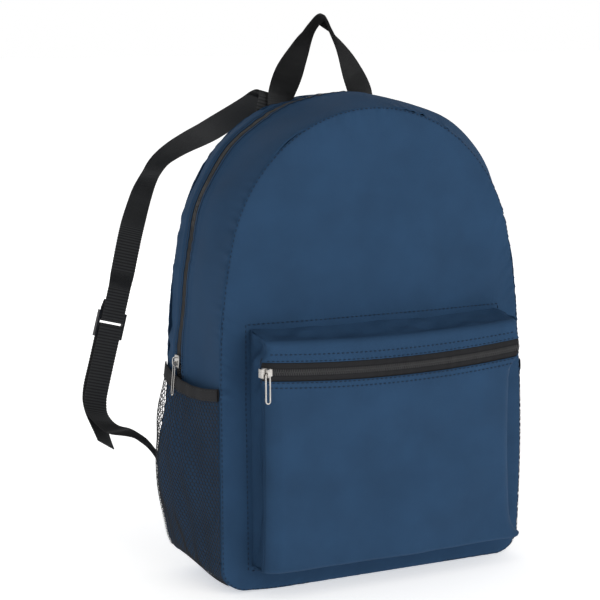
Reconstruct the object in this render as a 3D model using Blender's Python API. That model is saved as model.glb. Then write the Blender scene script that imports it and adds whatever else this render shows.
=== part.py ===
"""School backpack: arched main compartment with a zipped gusset, a zipped box pocket on the
front, a mesh pocket on each side, a grab handle and two adjustable webbing shoulder straps.

Frame: metres, +Z up, -Y towards the front pocket, +Y towards the wearer's back. The origin is
the middle of the flat underside that the bag stands on. "Left" is the -X side.
"""

import math

import bmesh
import bpy
from mathutils import Vector

# ---- Driving dimensions -------------------------------------------------------------------
GAP = 0.0003              # clearance between pieces that touch

HALF_WIDTH = 0.149        # main compartment
FRONT_Y = -0.052
BACK_Y = 0.052
CORNER_RADIUS = 0.022     # bottom corners, seen from the front
ARCH_FOOT_Z = 0.184       # the sides are straight up to here
FRONT_RISE = 0.222        # height of the arch above its foot, at the front seam
BACK_RISE = 0.230         # the same at the back seam
LEG_RADIUS = 0.520        # the lower part of the arch is nearly straight
CLOTH = 0.0016            # gusset and pocket cloth with its coating and seam allowance
FRONT_THICK = 0.0020
BACK_THICK = 0.0040
SIDE_SEAM_Z = 0.028       # bottom panel meets the side panels here

ZIP_Y = 0.022             # main zipper, from the middle of the gusset
ZIP_HALF_SLOT = 0.0031    # half of the tape's width that shows
ZIP_TAPE_HALF = 0.0125
TAPE = 0.0007
COIL_HALF = 0.0026

POCKET_HALF = 0.122       # front pocket
POCKET_FACE_Y = -0.088
POCKET_BOTTOM_Z = 0.0225
POCKET_TOP_REAR_Z = 0.226
POCKET_TOP_FRONT_Z = 0.217
POCKET_EDGE = 0.003       # the top folds over the face with this chamfer
POCKET_ZIP_Z = 0.1945
POCKET_ZIP_HALF_SLOT = 0.0079
POCKET_ZIP_TAPE_HALF = 0.0125
POCKET_ZIP_LEFT_X = -0.1282
POCKET_ZIP_RIGHT_X = 0.1215

MESH_THICK = 0.0008       # side pockets
MESH_BOTTOM_Z = 0.0245
MESH_FRONT_Y = -0.049
MESH_BACK_Y = 0.0478
MESH_TOP_FRONT_Z = 0.177
MESH_TOP_BACK_Z = 0.186
MESH_TOP_SAG = 0.006
MESH_BULGE = 0.017        # how far the net stands out, two thirds of the way back
RIM_BULGE = 0.0052
RIM_HEIGHT = 0.0095
RIM_THICK = 0.0014

WEBBING_HALF = 0.0125     # 25 mm webbing
WEBBING = 0.0016

HANDLE_Y = 0.0495
HANDLE_AXIS_Z = 0.4140

STRAP_TOP = Vector((-0.043, 0.0525, 0.413))     # ends of the axis that the left strap swings on
STRAP_BOTTOM = Vector((-0.140, 0.0525, 0.048))
STRAP_SPLAY = math.radians(8.0)                 # the loop leans outwards by this
LOCK_S = 0.2327           # middle of the ladder lock, down the strap's axis
LOCK_T = 0.1795           # and out from it
LOCK_HALF_WIDTH = 0.0155
LOCK_HALF_THICK = 0.0018
LAYER = 0.0029            # a webbing layer's middle, from the lock's middle
FOLD_LENGTH = 0.033       # sewn fold of the upper webbing above the lock

MAIN_SLIDER_Z = 0.190     # where the closed main zipper's slider is parked
MAIN_PULL_LEAN = math.radians(5.5)              # its pull hangs over the side pocket's binding
POCKET_SLIDER_X = -0.1265
SLIDER_CLEAR = 0.0004     # between the cloth and a slider's plate
SLIDER_PLATE = 0.0048     # a slider's body, from the tape to its top
PLATE_EDGE = 0.0005       # its chamfer
BRIDGE_REACH = 0.0034     # half of the bridge's length, to the middle of its posts
BRIDGE_HALF_WIDTH = 0.0008
BRIDGE_THICK = 0.0010
PIVOT_RISE = 0.0015       # pull's pivot above the slider's plate
MAIN_PULL_LENGTH = 0.030
POCKET_PULL_LENGTH = 0.026
PULL_HALF_WIDTH = 0.0024
PULL_WIRE = 0.0010
PULL_END_STEPS = 8

HANDLE_ROUTE = (          # (x, z) of the middle of the handle's webbing
    (-0.0360, 0.4143), (-0.0267, 0.4360), (-0.0170, 0.4533), (-0.0072, 0.4712),
    (-0.0008, 0.4812), (0.0042, 0.4850), (0.0096, 0.4806), (0.0160, 0.4705),
    (0.0262, 0.4526), (0.0358, 0.4345), (0.0450, 0.4143),
)
HANDLE_TWIST = (          # (share of the length, degrees): edge-on to the front over the peak
    (0.0, 0.0), (0.04, 0.0), (0.15, 26.0), (0.27, 48.0), (0.34, 70.0), (0.40, 88.0),
    (0.50, 92.0), (0.54, 84.0), (0.60, 62.0), (0.66, 28.0), (0.73, 0.0), (0.82, -18.0),
    (0.90, -16.0), (0.97, 0.0), (1.0, 0.0),
)
HANDLE_STEP = 0.004
HANDLE_END_BLEND = 0.018  # over this length the webbing's edges come level at its sewn ends

# Strap routes are (t, s) in the plane of the strap's loop: t out from the axis between its
# sewn ends, s down along that axis.
ROOT_ROUTE = ((0.0013, 0.0170), (0.0013, 0.0050), (0.0022, 0.0000), (0.0072, -0.0028))
UPPER_ROUTE = (
    (0.0155, -0.0010), (0.0310, 0.0080), (0.0575, 0.0227), (0.0847, 0.0368), (0.1061, 0.0460),
    (0.1279, 0.0554), (0.1451, 0.0645), (0.1587, 0.0743), (0.1679, 0.0868), (0.1742, 0.1021),
    (0.1775, 0.1219), (0.1790, 0.1418), (0.1785, 0.1613), (0.1776, 0.1807), (0.1768, 0.1990),
)
LOWER_ROUTE = (
    (0.1766, 0.2950), (0.1755, 0.3060), (0.1700, 0.3165), (0.1590, 0.3225), (0.1430, 0.3262),
    (0.1217, 0.3273), (0.0911, 0.3276), (0.0720, 0.3306), (0.0560, 0.3360), (0.0400, 0.3455),
    (0.0280, 0.3560), (0.0155, 0.3680),
)
ANCHOR_ROUTE = ((0.0072, 0.3745), (0.0025, 0.3785), (0.0013, 0.3830), (0.0013, 0.3930))
TAIL_ROUTE = (
    (0.1824, 0.2900), (0.1816, 0.2990), (0.1780, 0.3105), (0.1690, 0.3220), (0.1560, 0.3325),
    (0.1400, 0.3440),
)
STRAP_STEP = 0.006
LAYER_NEAR = 0.0130       # the two layers lie parallel from here, above the lock's middle
RUN_NEAR = 0.0120         # and from here below it
RUN_FAR = 0.0400
LOCK_TOP = 0.0110         # from the lock's middle, along the strap
LOCK_BOTTOM = 0.0145
LOCK_MIDDLE_SLOT = 0.0038 # half of the slot that both layers pass
LOCK_LOWER_SLOT = (0.0066, 0.0115)
TURN_CENTRE = 0.0042      # the webbing turns round a bar this far from the lock's middle
TURN_STEPS = 6

LEG_STEPS = 6
CROWN_STEPS = 26
CORNER_STEPS = 6
MESH_COLUMNS = 14
MESH_ROWS = 10


# ---- Scene and materials ------------------------------------------------------------------
def clear_scene():
    for item in list(bpy.data.objects):
        bpy.data.objects.remove(item, do_unlink=True)


def make_material(name, colour, roughness, metallic=0.0):
    made = bpy.data.materials.new(name)
    made.use_nodes = True
    shader = made.node_tree.nodes["Principled BSDF"]
    shader.inputs["Base Color"].default_value = (*colour, 1.0)
    shader.inputs["Roughness"].default_value = roughness
    shader.inputs["Metallic"].default_value = metallic
    return made


def make_materials():
    return {
        "navy": make_material("navy_cloth", (0.031, 0.067, 0.125), 0.62),
        "tape": make_material("zipper_tape", (0.026, 0.026, 0.028), 0.85),
        "coil": make_material("zipper_coil", (0.030, 0.030, 0.031), 0.45),
        "metal": make_material("zipper_metal", (0.62, 0.60, 0.58), 0.28, 1.0),
        "net": make_material("black_net", (0.018, 0.018, 0.020), 0.80),
        "webbing": make_material("black_webbing", (0.020, 0.020, 0.021), 0.75),
        "binding": make_material("black_binding", (0.024, 0.024, 0.026), 0.80),
        "plastic": make_material("black_acetal", (0.012, 0.012, 0.013), 0.40),
    }


# ---- Solids -------------------------------------------------------------------------------
def finish_object(name, mesh_data, material, sharp_angle=40.0):
    """Turn a bmesh into a named object with its faces pointing out."""
    bmesh.ops.recalc_face_normals(mesh_data, faces=mesh_data.faces[:])
    mesh = bpy.data.meshes.new(name)
    mesh_data.to_mesh(mesh)
    mesh_data.free()
    mesh.materials.append(material)
    mesh.shade_smooth()
    mesh.set_sharp_from_angle(angle=math.radians(sharp_angle))
    made = bpy.data.objects.new(name, mesh)
    bpy.context.collection.objects.link(made)
    return made


def loft(name, rings, material, closed=False):
    """One closed solid through rings that each have the same number of corners."""
    mesh_data = bmesh.new()
    loops = [[mesh_data.verts.new(corner) for corner in ring] for ring in rings]
    count = len(loops[0])
    following = loops[1:] + loops[:1] if closed else loops[1:]
    for ring, after in zip(loops, following):
        for k in range(count):
            j = (k + 1) % count
            mesh_data.faces.new((ring[k], ring[j], after[j], after[k]))
    if not closed:
        mesh_data.faces.new(loops[0])
        mesh_data.faces.new(loops[-1])
    return finish_object(name, mesh_data, material)


def sheet(name, outer, inner, material):
    """One closed solid between two grids of points, with walls along the four edges."""
    mesh_data = bmesh.new()
    skins = [[[mesh_data.verts.new(p) for p in row] for row in grid] for grid in (outer, inner)]
    rows = len(outer)
    columns = len(outer[0])
    for skin in skins:
        for r in range(rows - 1):
            for c in range(columns - 1):
                corners = (skin[r][c], skin[r][c + 1], skin[r + 1][c + 1], skin[r + 1][c])
                mesh_data.faces.new(corners)
    rim = [(0, c) for c in range(columns)]
    rim += [(r, columns - 1) for r in range(1, rows)]
    rim += [(rows - 1, c) for c in range(columns - 2, -1, -1)]
    rim += [(r, 0) for r in range(rows - 2, 0, -1)]
    for (r, c), (r2, c2) in zip(rim, rim[1:] + rim[:1]):
        front, back = skins
        mesh_data.faces.new((front[r][c], front[r2][c2], back[r2][c2], back[r][c]))
    return finish_object(name, mesh_data, material)


def block(name, low, high, material):
    """A plain flat-sided panel between two corners."""
    ring = [(low[0], low[1]), (high[0], low[1]), (high[0], high[1]), (low[0], high[1])]
    return loft(name, [[(x, y, z) for x, y in ring] for z in (low[2], high[2])], material)


def cut(made, low, high):
    """Cut a box out of an object and apply the result."""
    cutter = block(made.name + "_cutter", low, high, made.data.materials[0])
    combine(made, cutter, "DIFFERENCE")


def combine(made, other, operation):
    """Apply a Boolean with another object, which is then removed."""
    modifier = made.modifiers.new(operation.lower(), "BOOLEAN")
    modifier.operation = operation
    modifier.solver = "EXACT"
    modifier.object = other
    bpy.context.view_layer.update()
    evaluated = made.evaluated_get(bpy.context.evaluated_depsgraph_get())
    result = bpy.data.meshes.new_from_object(evaluated)
    made.modifiers.remove(modifier)
    made.data = result
    bpy.data.objects.remove(other, do_unlink=True)


def smooth_curve(points, step):
    """Points about one step apart on a Catmull-Rom curve through the given ones."""
    points = [Vector(p) for p in points]
    ends = [2 * points[0] - points[1]] + points + [2 * points[-1] - points[-2]]
    made = []
    for a, b, c, d in zip(ends, ends[1:], ends[2:], ends[3:]):
        count = max(1, round((c - b).length / step))
        for k in range(count):
            u = k / count
            line = 2 * b + (c - a) * u + (2 * a - 5 * b + 4 * c - d) * u * u
            made.append((line + (3 * b - a - 3 * c + d) * u ** 3) / 2)
    return made + [points[-1]]


def ribbon_rings(path, widths, half_width, thickness):
    """Rectangular rings along a path, each with its own width direction."""
    rings = []
    last = len(path) - 1
    for k, (point, width) in enumerate(zip(path, widths)):
        along = (path[min(k + 1, last)] - path[max(k - 1, 0)]).normalized()
        up = along.cross(width).normalized() * thickness / 2
        side = width * half_width
        rings.append([point - side - up, point + side - up, point + side + up, point - side + up])
    return rings


# ---- Main compartment ---------------------------------------------------------------------
def rise_at(y):
    """Height of the arch, which grows evenly from the front seam to the back seam."""
    return FRONT_RISE + (BACK_RISE - FRONT_RISE) * (y - FRONT_Y) / (BACK_Y - FRONT_Y)


def leg_turn(rise):
    """Angle of the leg's arc, where the crown's arc takes over from it."""
    q = (LEG_RADIUS - rise) / (LEG_RADIUS - HALF_WIDTH)
    return 2 * math.atan((1 - q) / (1 + q))


def arch_point(k, y, inset):
    """Point k of the arch at depth y, from the left foot over the crown to the right foot."""
    rise = rise_at(y)
    turn = leg_turn(rise)
    offset = LEG_RADIUS - HALF_WIDTH
    crown = LEG_RADIUS - offset / math.cos(turn)
    crown_z = ARCH_FOOT_Z + offset * math.tan(turn)
    last = 2 * LEG_STEPS + CROWN_STEPS
    mirrored = k > last / 2
    k = last - k if mirrored else k
    if k <= LEG_STEPS:
        angle = turn * k / LEG_STEPS
        x = offset - (LEG_RADIUS - inset) * math.cos(angle)
        z = ARCH_FOOT_Z + (LEG_RADIUS - inset) * math.sin(angle)
    else:
        angle = turn + (math.pi - 2 * turn) * (k - LEG_STEPS) / CROWN_STEPS
        x = -(crown - inset) * math.cos(angle)
        z = crown_z + (crown - inset) * math.sin(angle)
    return Vector((-x if mirrored else x, y, z))


def arch_count():
    return 2 * LEG_STEPS + CROWN_STEPS + 1


def arch_strip(name, y_low, y_high, outer_inset, inner_inset, material, foot_gap=0.0):
    """A strip of the gusset from foot to foot."""
    rings = []
    for k in range(arch_count()):
        corners = [(y_low, outer_inset), (y_high, outer_inset)]
        corners += [(y_high, inner_inset), (y_low, inner_inset)]
        rings.append([arch_point(k, y, inset) for y, inset in corners])
    lift = Vector((0, 0, foot_gap))
    rings[0] = [p + lift for p in rings[0]]
    rings[-1] = [p + lift for p in rings[-1]]
    return loft(name, rings, material)


def corner_arc(side, y, inset, start, stop):
    """A bottom corner, as angles from straight down towards the side."""
    made = []
    for k in range(CORNER_STEPS + 1):
        angle = start + (stop - start) * k / CORNER_STEPS
        x = HALF_WIDTH - CORNER_RADIUS + (CORNER_RADIUS - inset) * math.sin(angle)
        z = CORNER_RADIUS - (CORNER_RADIUS - inset) * math.cos(angle)
        made.append(Vector((side * x, y, z)))
    return made


def body_outline(y, inset):
    """The whole outline at depth y, clockwise from the bottom left."""
    quarter = math.pi / 2
    arch = [arch_point(k, y, inset) for k in range(arch_count())]
    left = corner_arc(-1, y, inset, 0, quarter)
    return left + arch + corner_arc(1, y, inset, quarter, 0)


def make_shell(paint):
    navy = paint["navy"]
    front_seam = FRONT_Y + FRONT_THICK
    back_seam = BACK_Y - BACK_THICK
    for name, y_low, y_high in (
        ("front_panel", FRONT_Y, front_seam),
        ("back_panel", back_seam, BACK_Y),
    ):
        loft(name, [body_outline(y_low, 0), body_outline(y_high, 0)], navy)
    y_low = front_seam + GAP
    y_high = back_seam - GAP
    arch_strip("gusset_front_strip", y_low, ZIP_Y - ZIP_HALF_SLOT, 0, CLOTH, navy, GAP / 2)
    arch_strip("gusset_rear_strip", ZIP_Y + ZIP_HALF_SLOT, y_high, 0, CLOTH, navy, GAP / 2)
    for side, name in ((-1, "left_side_panel"), (1, "right_side_panel")):
        xs = sorted((side * HALF_WIDTH, side * (HALF_WIDTH - CLOTH)))
        low = (xs[0], y_low, SIDE_SEAM_Z + GAP)
        block(name, low, (xs[1], y_high, ARCH_FOOT_Z - GAP / 2), navy)
    rings = []
    quarter = math.pi / 2
    profiles = []
    for y, inset in ((y_low, 0), (y_high, 0), (y_high, CLOTH), (y_low, CLOTH)):
        edge = Vector((0, 0, SIDE_SEAM_Z - CORNER_RADIUS))
        left = corner_arc(-1, y, inset, quarter, 0)
        right = corner_arc(1, y, inset, 0, quarter)
        profiles.append([left[0] + edge] + left + right + [right[-1] + edge])
    for corners in zip(*profiles):
        rings.append(list(corners))
    loft("bottom_panel", rings, navy)
    for name, start, stop in (
        ("front_seam_binding", y_low + GAP, y_low + 0.0080),
        ("back_seam_binding", y_high - 0.0080, y_high - GAP),
    ):
        outer, inner = 0.0036, 0.0048
        profiles = [
            body_outline(y, inset)
            for y, inset in ((start, outer), (stop, outer), (stop, inner), (start, inner))
        ]
        loft(name, [list(corners) for corners in zip(*profiles)], paint["binding"], closed=True)


def make_main_zipper(paint):
    tape_out = CLOTH + GAP
    tape_in = tape_out + TAPE
    for name, sign in (("front", -1), ("rear", 1)):
        edges = sorted((ZIP_Y + sign * GAP / 2, ZIP_Y + sign * ZIP_TAPE_HALF))
        arch_strip("main_zipper_tape_" + name, *edges, tape_out, tape_in, paint["tape"], GAP / 2)
        edges = sorted((ZIP_Y + sign * GAP / 2, ZIP_Y + sign * COIL_HALF))
        arch_strip("main_zipper_coil_" + name, *edges, 0.0001, CLOTH, paint["coil"], GAP / 2)


# ---- Zipper slider and pull -----------------------------------------------------------------
def make_slider(name, foot, out, travel, bridge_along, paint):
    """A slider whose underside is at foot: a tapered plate with a bridge for the pull."""
    across = out.cross(travel).normalized()
    outline = ((-0.0055, 0.0030), (-0.0020, 0.0036), (0.0030, 0.0046), (0.0055, 0.0036))
    corners = list(outline) + [(along, -half) for along, half in reversed(outline)]
    levels = (
        (0, 0.92), (PLATE_EDGE, 1.0), (SLIDER_PLATE - PLATE_EDGE, 1.0), (SLIDER_PLATE, 0.88),
    )
    rings = []
    for height, shrink in levels:
        middle = foot + out * height
        rings.append([middle + (travel * a + across * h) * shrink for a, h in corners])
    plate = loft(name, rings, paint["metal"])
    rise = SLIDER_PLATE + PIVOT_RISE + PULL_WIRE / 2 + 2 * GAP + BRIDGE_THICK / 2
    profile = (
        (1.0, SLIDER_PLATE - BRIDGE_THICK), (1.0, rise - 0.0012), (0.88, rise - 0.0004), (0.6, rise),
    )
    profile = [(-share, height) for share, height in profile] + list(reversed(profile))
    path = [foot + bridge_along * share * BRIDGE_REACH + out * height for share, height in profile]
    widths = [out.cross(bridge_along).normalized()] * len(path)
    rings = ribbon_rings(path, widths, BRIDGE_HALF_WIDTH, BRIDGE_THICK)
    bridge = loft(name + "_bridge", rings, paint["metal"])
    combine(plate, bridge, "UNION")
    return foot + out * (SLIDER_PLATE + PIVOT_RISE)


def make_pull(name, pivot, out, down, length, paint):
    """A long wire loop through the slider's bridge, hanging along down."""
    across = out.cross(down).normalized()
    middle = PULL_HALF_WIDTH - PULL_WIRE / 2
    straight = length - 2 * middle - PULL_WIRE
    path = []
    for end, start in ((0.0, math.pi), (straight, 0.0)):
        for k in range(PULL_END_STEPS + 1):
            angle = start + math.pi * k / PULL_END_STEPS
            along = end + middle * math.sin(angle) + middle
            path.append(pivot + down * along + across * middle * math.cos(angle))
    rings = []
    count = len(path)
    for k in range(count):
        along = (path[(k + 1) % count] - path[k - 1]).normalized()
        side = along.cross(out).normalized() * PULL_WIRE / 2
        face = out * PULL_WIRE / 2
        ring = [path[k] + side - face, path[k] + side + face]
        rings.append(ring + [path[k] - side + face, path[k] - side - face])
    return loft(name, rings, paint["metal"], closed=True)


def make_sliders(paint):
    angle = math.asin((MAIN_SLIDER_Z - ARCH_FOOT_Z) / LEG_RADIUS)
    out = Vector((-math.cos(angle), 0, math.sin(angle)))
    travel = Vector((math.sin(angle), 0, math.cos(angle)))
    centre = Vector((LEG_RADIUS - HALF_WIDTH, ZIP_Y, ARCH_FOOT_Z))
    foot = centre + out * (LEG_RADIUS + SLIDER_CLEAR)
    pivot = make_slider("main_zipper_slider", foot, out, travel, travel, paint)
    lean = MAIN_PULL_LEAN
    out = Vector((-math.cos(lean), 0, math.sin(lean)))
    down = Vector((-math.sin(lean), 0, -math.cos(lean)))
    make_pull("main_zipper_pull", pivot, out, down, MAIN_PULL_LENGTH, paint)
    # The pocket's pull hangs across its zipper, so its bridge stands upright on the plate.
    out = Vector((0, -1, 0))
    up = Vector((0, 0, 1))
    foot = Vector((POCKET_SLIDER_X, POCKET_FACE_Y - SLIDER_CLEAR, POCKET_ZIP_Z))
    pivot = make_slider("pocket_zipper_slider", foot, out, Vector((-1, 0, 0)), up, paint)
    make_pull("pocket_zipper_pull", pivot, out, -up, POCKET_PULL_LENGTH, paint)


# ---- Front pocket ---------------------------------------------------------------------------
def make_pocket(paint):
    navy = paint["navy"]
    rear = FRONT_Y - GAP
    face_in = POCKET_FACE_Y + CLOTH
    zip_top = POCKET_ZIP_Z + POCKET_ZIP_HALF_SLOT
    zip_bottom = POCKET_ZIP_Z - POCKET_ZIP_HALF_SLOT
    profile = (
        (rear, POCKET_TOP_REAR_Z), (POCKET_FACE_Y + POCKET_EDGE, POCKET_TOP_FRONT_Z),
        (POCKET_FACE_Y, POCKET_TOP_FRONT_Z - POCKET_EDGE), (POCKET_FACE_Y, zip_top),
        (face_in, zip_top), (face_in, POCKET_TOP_FRONT_Z - POCKET_EDGE - 0.0010),
        (POCKET_FACE_Y + POCKET_EDGE + 0.0005, POCKET_TOP_FRONT_Z - CLOTH - 0.0002),
        (rear, POCKET_TOP_REAR_Z - CLOTH),
    )
    rings = [[(x, y, z) for y, z in profile] for x in (-POCKET_HALF, POCKET_HALF)]
    loft("pocket_upper_panel", rings, navy)
    wall_front = face_in + GAP + TAPE + GAP
    floor = POCKET_BOTTOM_Z + CLOTH
    low = (-POCKET_HALF, POCKET_FACE_Y, POCKET_BOTTOM_Z)
    block("pocket_front_panel", low, (POCKET_HALF, face_in, zip_bottom), navy)
    low = (-POCKET_HALF, face_in + GAP, POCKET_BOTTOM_Z)
    block("pocket_bottom_wall", low, (POCKET_HALF, rear, floor), navy)
    for side, name in ((-1, "pocket_left_wall"), (1, "pocket_right_wall")):
        outline = (
            (rear, floor + GAP), (rear, POCKET_TOP_REAR_Z - CLOTH - 2 * GAP),
            (POCKET_FACE_Y + 0.005, POCKET_TOP_FRONT_Z - CLOTH - 2 * GAP),
            (wall_front, POCKET_TOP_FRONT_Z - 0.006), (wall_front, floor + GAP),
        )
        xs = (side * POCKET_HALF, side * (POCKET_HALF - CLOTH))
        loft(name, [[(x, y, z) for y, z in outline] for x in xs], navy)
    for name, sign in (("upper", 1), ("lower", -1)):
        inner_z = POCKET_ZIP_Z + sign * GAP / 2
        zs = sorted((inner_z, POCKET_ZIP_Z + sign * POCKET_ZIP_TAPE_HALF))
        low = (POCKET_ZIP_LEFT_X, face_in + GAP, zs[0])
        high = (POCKET_ZIP_RIGHT_X, face_in + GAP + TAPE, zs[1])
        block("pocket_zipper_tape_" + name, low, high, paint["tape"])
        zs = sorted((inner_z, POCKET_ZIP_Z + sign * COIL_HALF))
        low = (POCKET_ZIP_LEFT_X, POCKET_FACE_Y, zs[0])
        high = (POCKET_ZIP_RIGHT_X, face_in, zs[1])
        block("pocket_zipper_coil_" + name, low, high, paint["coil"])


# ---- Mesh side pockets ------------------------------------------------------------------------
def mesh_point(side, v, w, lift):
    """A point of a side pocket: v from front to back, w from the bottom to the rim's top."""
    y = MESH_FRONT_Y + v * (MESH_BACK_Y - MESH_FRONT_Y)
    top = MESH_TOP_FRONT_Z + v * (MESH_TOP_BACK_Z - MESH_TOP_FRONT_Z)
    top -= 4 * MESH_TOP_SAG * v * (1 - v)
    z = MESH_BOTTOM_Z + w * (top - MESH_BOTTOM_Z)
    fullness = max(0, math.sin(math.pi * w ** 1.15)) ** 1.5
    belly = MESH_BULGE * max(0, math.sin(math.pi * v ** 1.7)) * fullness
    rim = RIM_BULGE * math.sin(math.pi * v ** 0.7) * w ** 1.5
    x = HALF_WIDTH + 2 * GAP + lift + belly + rim
    return Vector((side * x, y, z))


def make_mesh_pockets(paint):
    columns = [k / MESH_COLUMNS for k in range(MESH_COLUMNS + 1)]
    rim_start = 1 - RIM_HEIGHT / (MESH_TOP_FRONT_Z - MESH_BOTTOM_Z)
    rows = [k / MESH_ROWS * (rim_start - 0.003) for k in range(MESH_ROWS + 1)]
    rim_rows = [rim_start + (1 - rim_start) * k / 2 for k in range(3)]
    for side, name in ((-1, "left"), (1, "right")):
        for piece, levels, thick, colour in (
            ("_mesh_pocket", rows, MESH_THICK, "net"),
            ("_pocket_rim", rim_rows, RIM_THICK, "binding"),
        ):
            outer = [[mesh_point(side, v, w, thick) for v in columns] for w in levels]
            inner = [[mesh_point(side, v, w, 0) for v in columns] for w in levels]
            sheet(name + piece, outer, inner, paint[colour])


# ---- Grab handle -----------------------------------------------------------------------------
def twist_at(share):
    """Angle that the handle's webbing has turned through, at a share of its length."""
    for (start, before), (stop, after) in zip(HANDLE_TWIST, HANDLE_TWIST[1:]):
        if share <= stop:
            part = (share - start) / (stop - start)
            return math.radians(before + (after - before) * part)
    return 0.0


def make_handle(paint):
    route = [Vector((x, HANDLE_Y, z)) for x, z in HANDLE_ROUTE]
    path = smooth_curve(route, HANDLE_STEP)
    path[-1] = route[-1]
    length = [0.0]
    for before, after in zip(path, path[1:]):
        length.append(length[-1] + (after - before).length)
    widths = []
    for k, along in enumerate(length):
        ahead = path[min(k + 1, len(path) - 1)] - path[max(k - 1, 0)]
        flat = Vector((ahead.z, 0, -ahead.x)).normalized()
        share = along / length[-1]
        end = min(1.0, min(along, length[-1] - along) / HANDLE_END_BLEND)
        side = 1 if share < 0.5 else -1
        level = Vector((side, 0, 0)).lerp(flat, end).normalized()
        twist = twist_at(share)
        widths.append(level * math.cos(twist) - Vector((0, 1, 0)) * math.sin(twist))
    loft("grab_handle", ribbon_rings(path, widths, WEBBING_HALF, WEBBING), paint["webbing"])
    crown = LEG_RADIUS - (LEG_RADIUS - HALF_WIDTH) / math.cos(leg_turn(rise_at(HANDLE_Y)))
    crown_z = ARCH_FOOT_Z + rise_at(HANDLE_Y) - crown
    for middle, name in ((HANDLE_ROUTE[0][0], "left"), (HANDLE_ROUTE[-1][0], "right")):
        xs = [middle + WEBBING_HALF * k / 3 for k in range(-3, 4)]
        bottom = [(x, crown_z + math.sqrt(crown ** 2 - x ** 2) + 0.0004) for x in xs]
        top = HANDLE_AXIS_Z - WEBBING / 2 - 2 * GAP
        outline = bottom + [(xs[-1], top), (xs[0], top)]
        ys = (HANDLE_Y - WEBBING / 2, HANDLE_Y + WEBBING / 2)
        loft("handle_end_" + name, [[(x, y, z) for x, z in outline] for y in ys], paint["webbing"])


# ---- Shoulder straps ---------------------------------------------------------------------------
def strap_axes(splay):
    down = (STRAP_BOTTOM - STRAP_TOP).normalized()
    back = Vector((0, 1, 0))
    outward = math.cos(splay) * back - math.sin(splay) * down.cross(back)
    return outward, down, down.cross(outward)


def strap_point(side, t, s, w=0.0, splay=STRAP_SPLAY):
    outward, down, across = strap_axes(splay)
    p = STRAP_TOP + outward * t + down * s + across * w
    return Vector((-side * p.x, p.y, p.z))


def strap_ribbon(name, side, route, material, step=STRAP_STEP, splay=STRAP_SPLAY):
    """Webbing along a route in the loop's plane."""
    flat = [Vector((t, s, 0)) for t, s in route]
    points = [strap_point(side, p.x, p.y, 0, splay) for p in smooth_curve(flat, step)]
    across = (strap_point(side, 0, 0, 1, splay) - strap_point(side, 0, 0, 0, splay)).normalized()
    rings = ribbon_rings(points, [across] * len(points), WEBBING_HALF, WEBBING)
    return loft(name, rings, material)


def turn_round(s, sign):
    """Half a turn of webbing round a bar, from the inner layer to the outer one."""
    made = []
    for k in range(TURN_STEPS + 1):
        angle = math.pi * k / TURN_STEPS
        made.append((LOCK_T - LAYER * math.cos(angle), s + sign * LAYER * math.sin(angle)))
    return made


def make_ladder_lock(name, side, paint):
    """A frame with two slots, made flat and then turned into the loop's plane."""
    low = (-LOCK_HALF_WIDTH, -LOCK_HALF_THICK, -LOCK_BOTTOM)
    high = (LOCK_HALF_WIDTH, LOCK_HALF_THICK, LOCK_TOP)
    made = block(name, low, high, paint["plastic"])
    slot = WEBBING_HALF + 0.0005
    through = 2 * LOCK_HALF_THICK
    near, far = LOCK_LOWER_SLOT
    cut(made, (-slot, -through, -LOCK_MIDDLE_SLOT), (slot, through, LOCK_MIDDLE_SLOT))
    cut(made, (-slot, -through, -far), (slot, through, -near))
    for vert in made.data.vertices:
        x, y, z = vert.co
        vert.co = strap_point(side, LOCK_T + y, LOCK_S - z, x)
    if side > 0:
        made.data.flip_normals()
    return made


def make_straps(paint):
    webbing = paint["webbing"]
    for side, name in ((-1, "left_"), (1, "right_")):
        strap_ribbon(name + "strap_root", side, ROOT_ROUTE, webbing, splay=0)
        strap_ribbon(name + "upper_webbing", side, UPPER_ROUTE, webbing)
        inner, outer = LOCK_T - LAYER, LOCK_T + LAYER
        fold_top = LOCK_S - FOLD_LENGTH
        fold = [(inner, fold_top + 0.0005), (inner, LOCK_S - LAYER_NEAR)]
        fold += turn_round(LOCK_S - TURN_CENTRE, 1)
        fold += [(outer, LOCK_S - LAYER_NEAR), (outer, fold_top + 0.0010)]
        strap_ribbon(name + "strap_fold", side, fold, webbing, 2 * STRAP_STEP)
        route = list(reversed(LOWER_ROUTE))
        route += [(inner, LOCK_S + RUN_FAR), (inner, LOCK_S + RUN_NEAR)]
        route += turn_round(LOCK_S + TURN_CENTRE, -1)
        route += [(outer, LOCK_S + RUN_NEAR), (outer, LOCK_S + RUN_FAR)]
        route += list(TAIL_ROUTE)
        strap_ribbon(name + "lower_webbing", side, route, webbing, 0.008)
        strap_ribbon(name + "strap_anchor", side, ANCHOR_ROUTE, webbing, splay=0)
        make_ladder_lock(name + "ladder_lock", side, paint)


def main():
    clear_scene()
    paint = make_materials()
    make_shell(paint)
    make_main_zipper(paint)
    make_pocket(paint)
    make_sliders(paint)
    make_mesh_pockets(paint)
    make_handle(paint)
    make_straps(paint)


main()
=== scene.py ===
import math

import bmesh
import bpy
import numpy as np
from mathutils import Matrix, Vector


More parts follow.
